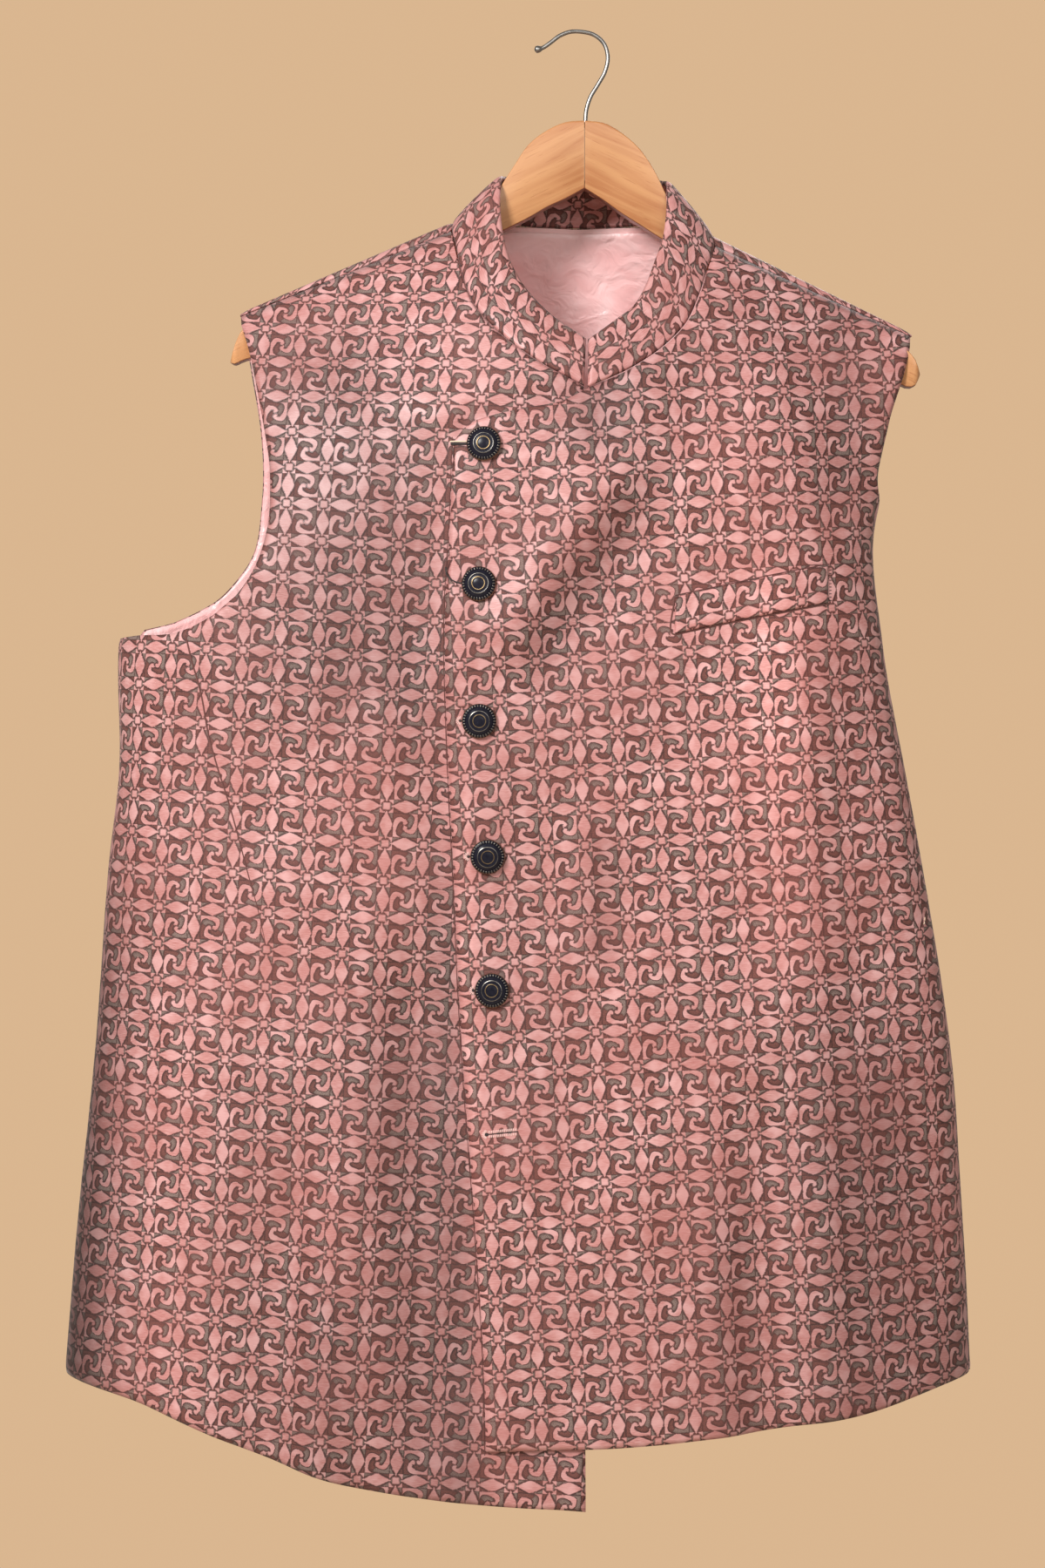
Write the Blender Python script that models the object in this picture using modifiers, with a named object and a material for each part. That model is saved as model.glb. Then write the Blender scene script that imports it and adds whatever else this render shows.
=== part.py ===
"""Nehru jacket on a wooden hanger, for Blender 4.5. Metres, +Z up, the jacket's front faces -Y.

The origin is where the hook rests on its rail. Left and right in the names of positions are
as seen from the front: -X is the wearer's right. The cloth follows one body form: at each
height a rounded ring, which closes over the top of the hanger in a ridge along both shoulders.
A point of the cloth is named by its angle round the ring (0 at the front, pi at the back,
growing towards +X) and its height.
"""

import math

import bpy
import numpy as np
from mathutils import Vector

MM = 0.001

# ---------------------------------------------------------------- driving sizes
CLOTH = 2.0 * MM            # jacquard, canvas and facing together
LINING = 1.0 * MM
COLLAR_WALL = 2.6 * MM
SIDE_GAP = 1.1 * MM         # between panels at the side seams, along the cloth
SHOULDER_GAP = 0.8 * MM
LAYER_GAP = 1.2 * MM        # between lining and back
OVERLAP_STEP = 4.0 * MM     # how far the under front lies behind the over front
OVERLAP_EASE = 40 * MM      # the length over which it sinks there

RIDGE_TOP = -85 * MM        # height at which the two shoulder lines would meet
SLOPE_LEFT, SLOPE_RIGHT = 0.43, 0.49
RIDGE_BEND = 0.10           # how much steeper the shoulders get per metre
NECK_RISE, NECK_RISE_HALF = 12 * MM, 67 * MM
SHOULDER_FORWARD, SHOULDER_REACH = 12 * MM, 210 * MM
FRONT_FALL, BACK_FALL = 190 * MM, 120 * MM   # drop over which the cloth reaches its full depth
SEAM_DROP_NECK, SEAM_DROP_TIP = 6.5 * MM, 2.5 * MM
SIDE_FULLNESS = 0.8         # below 1 squares the sides of the ring a little
SEAM_LEFT = math.pi / 2 + 0.46
SEAM_RIGHT = math.pi / 2 + 0.40

WELT_OUT, WELT_WALL = 1.9 * MM, 1.2 * MM


def table(names, *rows):
    """A table of millimetres: one array of metres for each named column."""
    return {name: np.array(values, float) * MM for name, values in zip(names.split(), zip(*rows))}


BODY = table(
    "z left right front back",
    (-930, -328, 252, 72, 62),
    (-845, -322, 249, 72, 62),
    (-749, -314, 244, 70, 60),
    (-639, -303, 236, 68, 58),
    (-529, -295, 219, 68, 58),
    (-463, -288, 207, 70, 60),
    (-382, -288, 193, 73, 64),
    (-309, -278, 189, 74, 66),
    (-250, -266, 212, 73, 66),
    (-190, -250, 236, 72, 66),
    (-70, -235, 270, 70, 66),
)
NECK_FRONT_LEFT = table(
    "x z", (-79, -124), (-76, -138), (-72, -156), (-64, -177), (-50, -194), (-26, -213), (4, -230)
)
NECK_FRONT_RIGHT = table(
    "x z", (88, -135), (83, -150), (77, -169), (67, -190), (56, -202), (34, -218), (6.5, -231)
)
NECK_BACK = table("x z", (86.5, -127), (66, -121), (42, -118), (4, -117), (-36, -117), (-60, -118), (-78, -119))
OVER_TOP_EDGE = table("x z", (-7, -238), (-30, -243), (-52, -248), (-67, -253.5), (-76, -264))
FRONT_EDGE = table(
    "z x", (-881, -56), (-825, -57.5), (-740, -63), (-633, -71), (-527, -76), (-452, -79.5),
    (-367, -81), (-314, -78), (-264, -76)
)
UNDER_EDGE = table("z x", (-919, 5), (-700, 4), (-382, 4), (-230, 4))
OVER_HEM = table("x z", (-60, -881.5), (57, -877.5), (127, -869.5), (180, -861), (223, -849), (249, -843))
UNDER_HEM = table("x z", (-322, -843), (-275, -855), (-221, -876), (-141, -903), (-87, -912), (5, -919))
BACK_HEM = table("x z", (-322, -843), (-150, -850), (0, -852), (150, -850), (249, -843))

# The armholes, from the side seam up to the shoulder. Where round_side is over 0, the edge is
# that many thousandths of a radian behind the outermost line of the ring, and x isn't used.
ARM_FRONT_LEFT = (
    # round_side, x, z
    (460, None, -386), (230, None, -385), (0, None, -382), (None, -272, -375), (None, -243, -370),
    (None, -217, -356), (None, -203, -342), (None, -194, -318), (None, -191, -285), (None, -195, -250),
    (None, -204, -205), (None, -210.5, -184),
)
ARM_BACK_LEFT = (
    (460, None, -386), (None, -258, -376), (None, -242, -364), (None, -220, -344), (None, -209, -323),
    (None, -203, -290), (None, -202, -250), (None, -207, -210), (None, -211, -182),
)
ARM_FRONT_RIGHT = (
    (400, None, -390), (330, None, -383), (230, None, -364), (110, None, -336), (10, None, -309),
    (None, 190, -275), (None, 196, -247), (None, 206, -215), (None, 210, -197),
)
ARM_BACK_RIGHT = (
    (400, None, -390), (480, None, -378), (None, 157, -347), (None, 157, -315), (None, 168, -270),
    (None, 187, -230), (None, 211, -195),
)

# Large soft folds of the two fronts: a line from (x1, z1) to (x2, z2), the fold's half width,
# and how far it stands out (in, if negative).
FOLDS = table(
    "x1 z1 x2 z2 half out",
    (-105, -520, -88, -900, 24, -5.0),
    (-136, -640, -160, -930, 22, 4.5),
    (-165, -660, -196, -930, 20, -4.0),
    (60, -290, -25, -420, 30, -5.0),
    (30, -265, -50, -400, 24, 3.5),
    (112, -640, 122, -900, 24, -4.5),
    (146, -560, 166, -900, 24, 4.0),
    (128, -150, 176, -300, 22, -4.5),
    (160, -330, 176, -640, 26, -3.5),
    (-120, -230, -112, -420, 26, -3.0),
)

COLLAR_RIM = table(
    "x y z",
    (5.6, -57, -199), (-15, -52, -184), (-31, -46, -167), (-40, -39, -151), (-45, -31, -134),
    (-47.5, -21, -115), (-48, -12, -98), (-48, -2, -90), (-46, 14, -87), (-38, 28, -85.5),
    (-20, 38, -85), (3, 41, -85), (28, 38, -85.5), (47, 28, -87), (57, 14, -90), (59, 0, -93),
    (57.5, -10, -101), (56.7, -17, -115), (53.6, -27, -134), (49, -34, -147), (43, -41, -163),
    (36, -46, -176), (22, -53, -188), (6.4, -57, -199.5),
)
BUTTONS = table("x z", (-57, -266), (-60, -351.5), (-60, -435), (-55, -518), (-52, -600))
WELT = table("x low high", (60, -381.5, -358.5), (92, -374.5, -351.5), (124, -368, -344.5), (156, -361.5, -338))

# The hanger: the height of its top and bottom edges at each distance from the middle joint.
HANGER_MIDDLE = 5.5 * MM
HANGER_THICK = 12 * MM
HANGER_EDGE = 1.6 * MM
HANGER_LEFT = table(
    "out top low", (0.2, -55.6, -98.5), (12, -56.6, -105), (23, -61.4, -110), (35, -70.5, -117),
    (45, -85, -122), (53, -97.5, -126), (64, -115.5, -132), (86, -132, -144), (130, -150, -163),
    (176, -173, -187), (210, -194, -209), (220, -199, -210)
)
HANGER_RIGHT = table(
    "out top low", (0.2, -55.6, -98.5), (12, -57, -106), (23, -63, -114), (34, -72.5, -121),
    (44, -87, -127.5), (51, -101.5, -132), (62, -121.5, -139), (82, -141, -154), (126, -162, -176),
    (172, -188, -203), (201, -209, -225), (210, -214, -227)
)
HOOK_WIRE = 1.3 * MM
HOOK = table(
    "x z", (6.1, -55.1), (6.6, -48.9), (9.2, -40.2), (13.8, -32.4), (18.6, -23.6), (20.3, -14.9),
    (17.8, -6.1), (11.9, -0.8), (3.9, 1.3), (-3.3, 1.3), (-9.9, -1.1), (-16, -5.6), (-21, -8.9), (-26, -10.2)
)


# ---------------------------------------------------------------- curves and grids
def read(columns, key, name, at):
    """A column of a table, read smoothly at these values of its key column."""
    keys, values = columns[key], columns[name]
    if keys[0] > keys[-1]:
        keys, values = keys[::-1], values[::-1]
    slopes = np.gradient(values, keys)
    at = np.clip(at, keys[0], keys[-1])
    i = np.clip(np.searchsorted(keys, at) - 1, 0, len(keys) - 2)
    width = keys[i + 1] - keys[i]
    t = (at - keys[i]) / width
    return (
        values[i] * (1 + 2 * t) * (1 - t) ** 2
        + values[i + 1] * t**2 * (3 - 2 * t)
        + width * (slopes[i] * t * (1 - t) ** 2 - slopes[i + 1] * t**2 * (1 - t))
    )


def smooth_path(points, count):
    """count points, evenly spaced, on a smooth curve through these."""
    points = np.array(points, float)
    steps = np.linalg.norm(np.diff(points, axis=0), axis=1)
    place = np.concatenate([[0], np.cumsum(steps)])
    fine = np.linspace(0, place[-1], 400)
    curve = {"at": place, **{str(i): points[:, i] for i in range(points.shape[1])}}
    dense = np.column_stack([read(curve, "at", str(i), fine) for i in range(points.shape[1])])
    length = np.concatenate([[0], np.cumsum(np.linalg.norm(np.diff(dense, axis=0), axis=1))])
    even = np.linspace(0, length[-1], count)
    return np.column_stack([np.interp(even, length, dense[:, i]) for i in range(points.shape[1])])


def smooth_step(t):
    t = np.clip(t, 0, 1)
    return t * t * (3 - 2 * t)


def patch(low, high, start, end, rows=1.0):
    """A grid filled in between four edges (a Coons patch): low and high run along the columns.
    With rows over 1, the rows get closer together towards the high edge."""
    u = np.linspace(0, 1, len(low))[None, :, None]
    place = np.linspace(0, 1, len(start))
    v = 1 - (1 - place) ** rows
    start, end = (np.column_stack([np.interp(v, place, part) for part in side.T]) for side in (start, end))
    v = v[:, None, None]
    sides = (1 - u) * start[:, None] + u * end[:, None]
    ends = (1 - v) * low[None] + v * high[None]
    corners = (1 - v) * ((1 - u) * low[0] + u * low[-1]) + v * ((1 - u) * high[0] + u * high[-1])
    return sides + ends - corners


# ---------------------------------------------------------------- the body form
def ridge(x, back=0.0):
    """Height of the shoulder line. On the back it goes on up behind the neck."""
    slope = np.where(x < 0, SLOPE_LEFT, SLOPE_RIGHT)
    out = np.abs(x)
    rise = NECK_RISE * np.exp(-((out / NECK_RISE_HALF) ** 6))
    return RIDGE_TOP - slope * out * (1 + RIDGE_BEND * out) + rise * back


def folds(x, z):
    total = np.zeros(np.broadcast(x, z).shape)
    for x1, z1, x2, z2, half, out in zip(*(FOLDS[name] for name in "x1 z1 x2 z2 half out".split())):
        length = math.hypot(x2 - x1, z2 - z1)
        along = ((x - x1) * (x2 - x1) + (z - z1) * (z2 - z1)) / length**2
        across = ((x - x1) * (z2 - z1) - (z - z1) * (x2 - x1)) / length
        ends = smooth_step(along / 0.3) * smooth_step((1.15 - along) / 0.3)
        total += out * np.exp(-((across / half) ** 2)) * ends
    return total


def form(angle, z):
    """The cloth's outer face at this angle round the ring and this height."""
    left, right = read(BODY, "z", "left", z), read(BODY, "z", "right", z)
    x = (left + right) / 2 + (right - left) / 2 * np.sin(angle)
    facing = np.cos(angle)
    depth = np.where(facing > 0, -read(BODY, "z", "front", z), read(BODY, "z", "back", z))
    depth = depth * np.abs(facing) ** SIDE_FULLNESS
    fall = FRONT_FALL + (BACK_FALL - FRONT_FALL) * smooth_step(0.5 - facing)
    t = np.clip((ridge(x, smooth_step(-4 * facing)) - z) / fall, 0, 1)
    spread = (1 - (1 - t) ** 2) ** 0.75
    middle = -SHOULDER_FORWARD * (x / SHOULDER_REACH) ** 2
    y = middle * (1 - spread) + depth * spread - folds(x, z) * smooth_step(facing * 3) * spread
    return np.stack([x, y, z + 0 * x], axis=-1)


def angle_at(x, z, back=False):
    left, right = read(BODY, "z", "left", z), read(BODY, "z", "right", z)
    angle = np.arcsin(np.clip((x - (left + right) / 2) / ((right - left) / 2), -1, 1))
    return math.pi - angle if back else angle


def on_form(columns, back=False):
    return np.column_stack([angle_at(columns["x"], columns["z"], back), columns["z"]])


def armhole(rows, sign, back=False):
    """The edge of an armhole as (angle, z)."""
    found = []
    for round_side, x, z in rows:
        if round_side is None:
            angle = float(angle_at(x * MM, z * MM, back))
        else:
            angle = sign * (math.pi / 2 + round_side * MM)
        if back and angle < 0:
            angle += 2 * math.pi
        found.append((angle, z * MM))
    return np.array(found)


def shoulder_seam(x_tip, x_neck, count):
    """The front side of the shoulder seam as (angle, z)."""
    x = np.linspace(x_tip, x_neck, count)
    share = (x - x_tip) / (x_neck - x_tip)
    z = ridge(x) - SEAM_DROP_TIP - (SEAM_DROP_NECK - SEAM_DROP_TIP) * share
    return np.column_stack([angle_at(x, z), z])


def path_in_cloth(points, count):
    """Evenly spaced (angle, z) points, measuring an angle as its length at the chest."""
    scale = np.array([0.24, 1.0])
    return smooth_path(points * scale, count) / scale


def hem_line(columns, angles):
    """(angle, z) along a hem: its height is a table of x."""
    z = np.full(len(angles), columns["z"].mean())
    for _ in range(4):
        z = read(columns, "x", "z", form(angles, z)[:, 0])
    return np.column_stack([angles, z])


def split_at(path, z):
    """A rising armhole edge, cut where it passes this height: its bottom and its upright part."""
    cut = int(np.argmax(path[:, 1] > z))
    return path[: cut + 1], path[cut:]


# ---------------------------------------------------------------- making objects
for old in list(bpy.data.objects):
    bpy.data.objects.remove(old)
jacket = bpy.data.collections.new("nehru_jacket_on_hanger")
cutters = bpy.data.collections.new("cutters")
bpy.context.scene.collection.children.link(jacket)
bpy.context.scene.collection.children.link(cutters)


def material(name, color, roughness, metallic=0.0):
    found = bpy.data.materials.new(name)
    found.use_nodes = True
    shader = found.node_tree.nodes["Principled BSDF"]
    shader.inputs["Base Color"].default_value = (*color, 1)
    shader.inputs["Roughness"].default_value = roughness
    shader.inputs["Metallic"].default_value = metallic
    return found


JACQUARD = material("jacquard", (0.55, 0.25, 0.22), 0.45)
SATIN = material("satin_lining", (0.85, 0.50, 0.50), 0.35)
WOOD = material("hanger_wood", (0.60, 0.33, 0.15), 0.4)
STEEL = material("steel", (0.55, 0.55, 0.55), 0.25, 1.0)
BUTTON = material("button_black", (0.01, 0.01, 0.02), 0.15)


def add(name, mesh, finish, collection=None):
    obj = bpy.data.objects.new(name, mesh)
    (collection or jacket).objects.link(obj)
    if finish is not None:
        obj.data.materials.append(finish)
    return obj


def cloth_mesh(name, low, high, first, turned=False):
    """A sheet of quads: the grid low, and the grid high standing on low's top row from its column
    number first on. high's bottom row is that part of low's top row."""
    rows, columns = low.shape[:2]
    above = high[1:]
    points = np.concatenate([low.reshape(-1, 3), above.reshape(-1, 3)])
    index_low = np.arange(rows * columns).reshape(rows, columns)
    index_above = rows * columns + np.arange(above.shape[0] * above.shape[1]).reshape(above.shape[:2])
    index_high = np.vstack([index_low[-1:, first : first + high.shape[1]], index_above])
    faces = []
    for index in (index_low, index_high):
        for a, b, c, d in zip(*(part.ravel() for part in (
            index[:-1, :-1], index[:-1, 1:], index[1:, 1:], index[1:, :-1]
        ))):
            faces.append((d, c, b, a) if turned else (a, b, c, d))
    mesh = bpy.data.meshes.new(name)
    mesh.from_pydata(points.tolist(), [], faces)
    mesh.validate()
    mesh.shade_smooth()
    return mesh


def grid_mesh(name, points, turned=False):
    return cloth_mesh(name, points, points[-1:], 0, turned)


def shell(name, mesh, wall, finish, inside=0.0):
    """A cloth wall. Its outer face is this sheet, or lies this far inside it."""
    obj = add(name, mesh, finish)
    if inside:
        layer = obj.modifiers.new("layer", "DISPLACE")
        layer.strength, layer.mid_level = -inside, 0
    solidify = obj.modifiers.new("wall", "SOLIDIFY")
    solidify.thickness = wall
    solidify.offset = -1
    return obj


# ---------------------------------------------------------------- the fronts
HEM_ROWS, ARM_ROWS, ARM_COLUMNS = 11, 11, 4
TOP_ROWS_CLOSER = 1.7


def upright(columns, z_from, z_to, count):
    """An edge that rises between two heights along a table of x."""
    z = np.linspace(z_from, z_to, count)
    return np.column_stack([angle_at(read(columns, "z", "x", z), z), z])


def seam_line(angle, z_from, z_to, count):
    return np.column_stack([np.full(count, angle), np.linspace(z_from, z_to, count)])


def front_grids(seam, hem_columns, arm_rows, sign, arm_split, top, edge, edge_low_z, edge_high_z):
    """The two grids of a front as (angle, z): from the hem to the chest, and up to the shoulder."""
    bottom, side = split_at(path_in_cloth(armhole(arm_rows, sign), 60), arm_split)
    bottom = path_in_cloth(bottom, ARM_COLUMNS + 1)
    side = path_in_cloth(side, ARM_ROWS)
    side[0], side[-1] = bottom[-1], top[0]
    inner_high = upright(edge, arm_split, edge_high_z, ARM_ROWS)
    inner_high[-1] = top[-1]
    chest = np.column_stack([
        np.linspace(side[0, 0], inner_high[0, 0], len(top)), np.full(len(top), arm_split)
    ])
    chest[0] = side[0]
    chest_row = np.vstack([bottom[:-1], chest])
    hem = hem_line(hem_columns, np.linspace(seam, angle_at(edge["x"][0], edge_low_z), len(chest_row)))
    outer = seam_line(seam, hem[0, 1], bottom[0, 1], HEM_ROWS)
    inner = upright(edge, edge_low_z, arm_split, HEM_ROWS)
    hem[-1] = inner[0]
    return patch(hem, chest_row, outer, inner), patch(chest, top, side, inner_high, TOP_ROWS_CLOSER)


def over_panel_grids():
    """The angles fall from the side seam to the front edge."""
    shoulder = shoulder_seam(210 * MM, 88 * MM, 6)
    neck = path_in_cloth(on_form(NECK_FRONT_RIGHT), 7)
    top_edge = path_in_cloth(np.vstack([neck[-1:], on_form(OVER_TOP_EDGE)]), 5)
    top = np.vstack([shoulder, neck[1:], top_edge[1:]])
    return front_grids(
        SEAM_RIGHT, OVER_HEM, ARM_FRONT_RIGHT, 1, -360 * MM, top, FRONT_EDGE, -881 * MM, -264 * MM
    )


def under_panel_grids():
    """The angles rise from the side seam to the hidden inner edge."""
    shoulder = shoulder_seam(-210.5 * MM, -79 * MM, 7)
    neck = path_in_cloth(on_form(NECK_FRONT_LEFT), 9)
    top = np.vstack([shoulder, neck[1:]])
    return front_grids(
        -SEAM_LEFT, UNDER_HEM, ARM_FRONT_LEFT, -1, -358 * MM, top, UNDER_EDGE, -919 * MM, -230 * MM
    )


def overlap_step(points):
    """How far the under front lies behind the form, to pass under the over front."""
    x, z = points[..., 0], points[..., 2]
    past_edge = x - read(FRONT_EDGE, "z", "x", z)
    top = {"x": np.append(OVER_TOP_EDGE["x"][::-1], 6 * MM), "z": np.append(OVER_TOP_EDGE["z"][::-1], -234 * MM)}
    below_top = read(top, "x", "z", x) - z
    inside = np.minimum(past_edge, below_top * 2)
    return OVERLAP_STEP * smooth_step((inside + OVERLAP_EASE) / OVERLAP_EASE)


def placed(cells):
    return form(cells[..., 0], cells[..., 1])


def placed_under(cells):
    points = placed(cells)
    points[..., 1] += overlap_step(points)
    return points


over_low, over_high = map(placed, over_panel_grids())
shell("front_over", cloth_mesh("front_over", over_low, over_high, ARM_COLUMNS, True), CLOTH, JACQUARD)

under_low, under_high = map(placed_under, under_panel_grids())
shell("front_under", cloth_mesh("front_under", under_low, under_high, ARM_COLUMNS), CLOTH, JACQUARD)


# ---------------------------------------------------------------- the back and its lining
BACK_ARM_COLUMNS = 2
RIDGE_DROP = 0.2 * MM
SIDE_TURN = 150 * MM        # length of cloth for each radian of the ring at the side seams


def back_grids(margin=0.0, hem_up=0.0, neck_in=0.0, ridge_in=0.0):
    """The back's two grids as (angle, z), from the right side seam to the left. A margin draws in
    the sides and armholes, hem_up the hem, neck_in the neck edge and ridge_in the shoulders."""
    right = SEAM_RIGHT + (SIDE_GAP + margin) / SIDE_TURN
    left = 2 * math.pi - SEAM_LEFT - (SIDE_GAP + margin) / SIDE_TURN
    ridges = []
    for x_from, x_to in ((211 * MM - margin, 88.8 * MM), (-80.3 * MM, -211 * MM + margin)):
        x = np.linspace(x_from, x_to, 6)
        z = ridge(x) - RIDGE_DROP - ridge_in
        ridges.append(np.column_stack([angle_at(x, z, True), z]))
    neck = path_in_cloth(on_form(NECK_BACK, True), 9)[1:-1]
    neck[:, 1] -= neck_in
    top = np.vstack([ridges[0], neck, ridges[1]])
    sides, bottoms = [], []
    for rows, sign, split in ((ARM_BACK_RIGHT, 1, -360 * MM), (ARM_BACK_LEFT, -1, -358 * MM)):
        bottom, side = split_at(path_in_cloth(armhole(rows, sign, True), 60), split)
        bottom = path_in_cloth(bottom, BACK_ARM_COLUMNS + 1)
        side = path_in_cloth(side, ARM_ROWS)
        for edge in (bottom, side):
            edge[:, 0] += sign * margin / (240 * MM)
        bottom[:, 1] -= margin
        bottom[0, 0] = right if sign > 0 else left
        side[0] = bottom[-1]
        sides.append(side)
        bottoms.append(bottom)
    sides[0][-1], sides[1][-1] = top[0], top[-1]
    chest = np.linspace(sides[0][0], sides[1][0], len(top))
    chest_row = np.vstack([bottoms[0][:-1], chest, bottoms[1][:-1][::-1]])
    hem = hem_line(BACK_HEM, np.linspace(right, left, len(chest_row)))
    hem[:, 1] += hem_up
    outer = seam_line(right, hem[0, 1], chest_row[0, 1], HEM_ROWS)
    inner = seam_line(left, hem[-1, 1], chest_row[-1, 1], HEM_ROWS)
    return patch(hem, chest_row, outer, inner), patch(chest, top, *sides, TOP_ROWS_CLOSER)


def over_the_ridge(points, rows=2):
    """The grid with rows added past the ridge, down to the seam on the front side."""
    x = points[-1, :, 0]
    out = np.abs(x)
    share = np.clip((211 * MM - out) / (131 * MM), 0, 1)
    drop = SEAM_DROP_TIP + (SEAM_DROP_NECK - SEAM_DROP_TIP) * share - SHOULDER_GAP
    past = smooth_step((out - 76 * MM) / (2 * MM))
    added = []
    for row in range(1, rows + 1):
        z = points[-1, :, 2] - drop * past * row / rows
        front = form(angle_at(x, z), z)
        front[:, 1] = points[-1, :, 1] + (front[:, 1] - points[-1, :, 1]) * past
        front[:, 2] += 0.3 * MM * row * (1 - past)
        added.append(front)
    return np.concatenate([points, added])


back_low, back_high = map(placed, back_grids())
back_high = over_the_ridge(back_high)
shell("back", cloth_mesh("back", back_low, back_high, BACK_ARM_COLUMNS), CLOTH, JACQUARD)

lining_low, lining_high = map(placed, back_grids(3 * MM, hem_up=20 * MM, neck_in=5 * MM, ridge_in=9 * MM))
lining = cloth_mesh("back_lining", lining_low, lining_high, BACK_ARM_COLUMNS)
shell("back_lining", lining, LINING, SATIN, inside=CLOTH + LAYER_GAP)


# ---------------------------------------------------------------- the collar
COLLAR_COLUMNS, COLLAR_ROWS = 41, 4
COLLAR_GAP = 1.5 * MM       # between the neck edge and the band's foot
COLLAR_BULGE = 2.0 * MM


def neck_ring():
    """The neck seam in space, from one centre-front end round the back to the other."""
    left = placed_under(on_form(NECK_FRONT_LEFT)[::-1])
    back = form(*on_form(NECK_BACK, True)[::-1].T)
    right = form(*on_form(NECK_FRONT_RIGHT).T)
    return np.vstack([left, back, right])


def collar_points():
    foot = smooth_path(neck_ring(), COLLAR_COLUMNS)
    rim = smooth_path(np.column_stack([COLLAR_RIM[name] for name in "xyz"]), COLLAR_COLUMNS)
    middle = foot.mean(axis=0)
    inward = (middle - foot) * [1, 1, 0]
    inward /= np.linalg.norm(inward, axis=1, keepdims=True)
    up = (rim - foot) / np.linalg.norm(rim - foot, axis=1, keepdims=True)
    foot = foot + up * COLLAR_GAP
    rows = []
    for row in range(COLLAR_ROWS):
        t = row / (COLLAR_ROWS - 1)
        rows.append(foot * (1 - t) + rim * t - inward * COLLAR_BULGE * 4 * t * (1 - t))
    return np.array(rows)


shell("collar", grid_mesh("collar", collar_points(), True), COLLAR_WALL, JACQUARD)


# ---------------------------------------------------------------- the chest welt
def welt_points():
    x = np.linspace(WELT["x"][0], WELT["x"][-1], 6)
    low, high = read(WELT, "x", "low", x), read(WELT, "x", "high", x)
    z = low + (high - low) * np.linspace(0, 1, 3)[:, None]
    points = form(angle_at(x, z), z)
    points[..., 1] -= WELT_OUT
    return points


shell("chest_welt", grid_mesh("chest_welt", welt_points()), WELT_WALL, JACQUARD)


# ---------------------------------------------------------------- the buttons
BUTTON_CLEAR = 0.6 * MM
BUTTON_PROFILE = table(
    "radius height", (0, 5.2), (3.4, 4.9), (6.2, 4.2), (8.5, 3.6), (9.9, 3.1), (10.3, 2.1),
    (9.3, 0.9), (7.2, 0), (0, 0)
)


def surface_frame(x, z):
    """The cloth's point here, and the direction straight out of it."""
    step = 4 * MM
    at = form(angle_at(x, z), z)
    across = form(angle_at(x + step, z), z) - form(angle_at(x - step, z), z)
    up = form(angle_at(x, z + step), z + step) - form(angle_at(x, z - step), z - step)
    return Vector(at), Vector(np.cross(across, up)).normalized()


def turned(name, radii, heights, steps, finish):
    """A solid turned about its own Z from this profile, which runs from the axis out and back."""
    mesh = bpy.data.meshes.new(name)
    points = [(radius, 0, height) for radius, height in zip(radii, heights)]
    mesh.from_pydata(points, [(i, i + 1) for i in range(len(points) - 1)], [])
    obj = add(name, mesh, finish)
    screw = obj.modifiers.new("turn", "SCREW")
    screw.steps = screw.render_steps = steps
    screw.use_merge_vertices, screw.merge_threshold = True, 0.01 * MM
    return obj


for number, (x, z) in enumerate(zip(BUTTONS["x"], BUTTONS["z"]), 1):
    button = turned(f"button_{number}", BUTTON_PROFILE["radius"], BUTTON_PROFILE["height"], 16, BUTTON)
    spot, out = surface_frame(x, z)
    button.location = spot + out * BUTTON_CLEAR
    button.rotation_euler = out.to_track_quat("Z", "Y").to_euler()


# ---------------------------------------------------------------- the hanger
NOTCH_X, NOTCH_Z, NOTCH_RADIUS, NOTCH_DEPTH = 1.4 * MM, -59.5 * MM, 3.7 * MM, 4 * MM
NUT_RADIUS, NUT_THICK = 3.2 * MM, 2.6 * MM
HANGER_BOW = 11 * MM        # how far forward of the middle the tips lie
HOOK_BALL = 2.2 * MM


def hanger_half(name, rows, side):
    """One arm: a stack of four-cornered sections from the middle joint to the tip."""
    corners = []
    for out, top, low in zip(rows["out"], rows["top"], rows["low"]):
        x = HANGER_MIDDLE + side * out
        middle = -HANGER_BOW * (x / SHOULDER_REACH) ** 2
        front, rear = middle - HANGER_THICK / 2, middle + HANGER_THICK / 2
        corners += [(x, front, low), (x, front, top), (x, rear, top), (x, rear, low)]
    last = len(corners) - 4
    faces = [(3, 2, 1, 0), tuple(range(last, last + 4))]
    for base in range(0, last, 4):
        for i in range(4):
            j = (i + 1) % 4
            faces.append((base + i, base + j, base + 4 + j, base + 4 + i))
    if side > 0:
        faces = [face[::-1] for face in faces]
    mesh = bpy.data.meshes.new(name)
    mesh.from_pydata(corners, [], faces)
    half = add(name, mesh, WOOD)
    bevel = half.modifiers.new("edges", "BEVEL")
    bevel.width, bevel.segments, bevel.angle_limit = HANGER_EDGE, 2, math.radians(50)
    return half


def prism(name, sides, radius, front, rear, x, z, finish, collection=None):
    """A bar along Y between these two depths, with this many sides."""
    rings = [
        (x + radius * math.sin(2 * math.pi * i / sides), y, z + radius * math.cos(2 * math.pi * i / sides))
        for y in (front, rear)
        for i in range(sides)
    ]
    faces = [tuple(range(sides - 1, -1, -1)), tuple(range(sides, 2 * sides))]
    faces += [(i, (i + 1) % sides, (i + 1) % sides + sides, i + sides) for i in range(sides)]
    mesh = bpy.data.meshes.new(name)
    mesh.from_pydata(rings, [], faces)
    return add(name, mesh, finish, collection)


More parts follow.
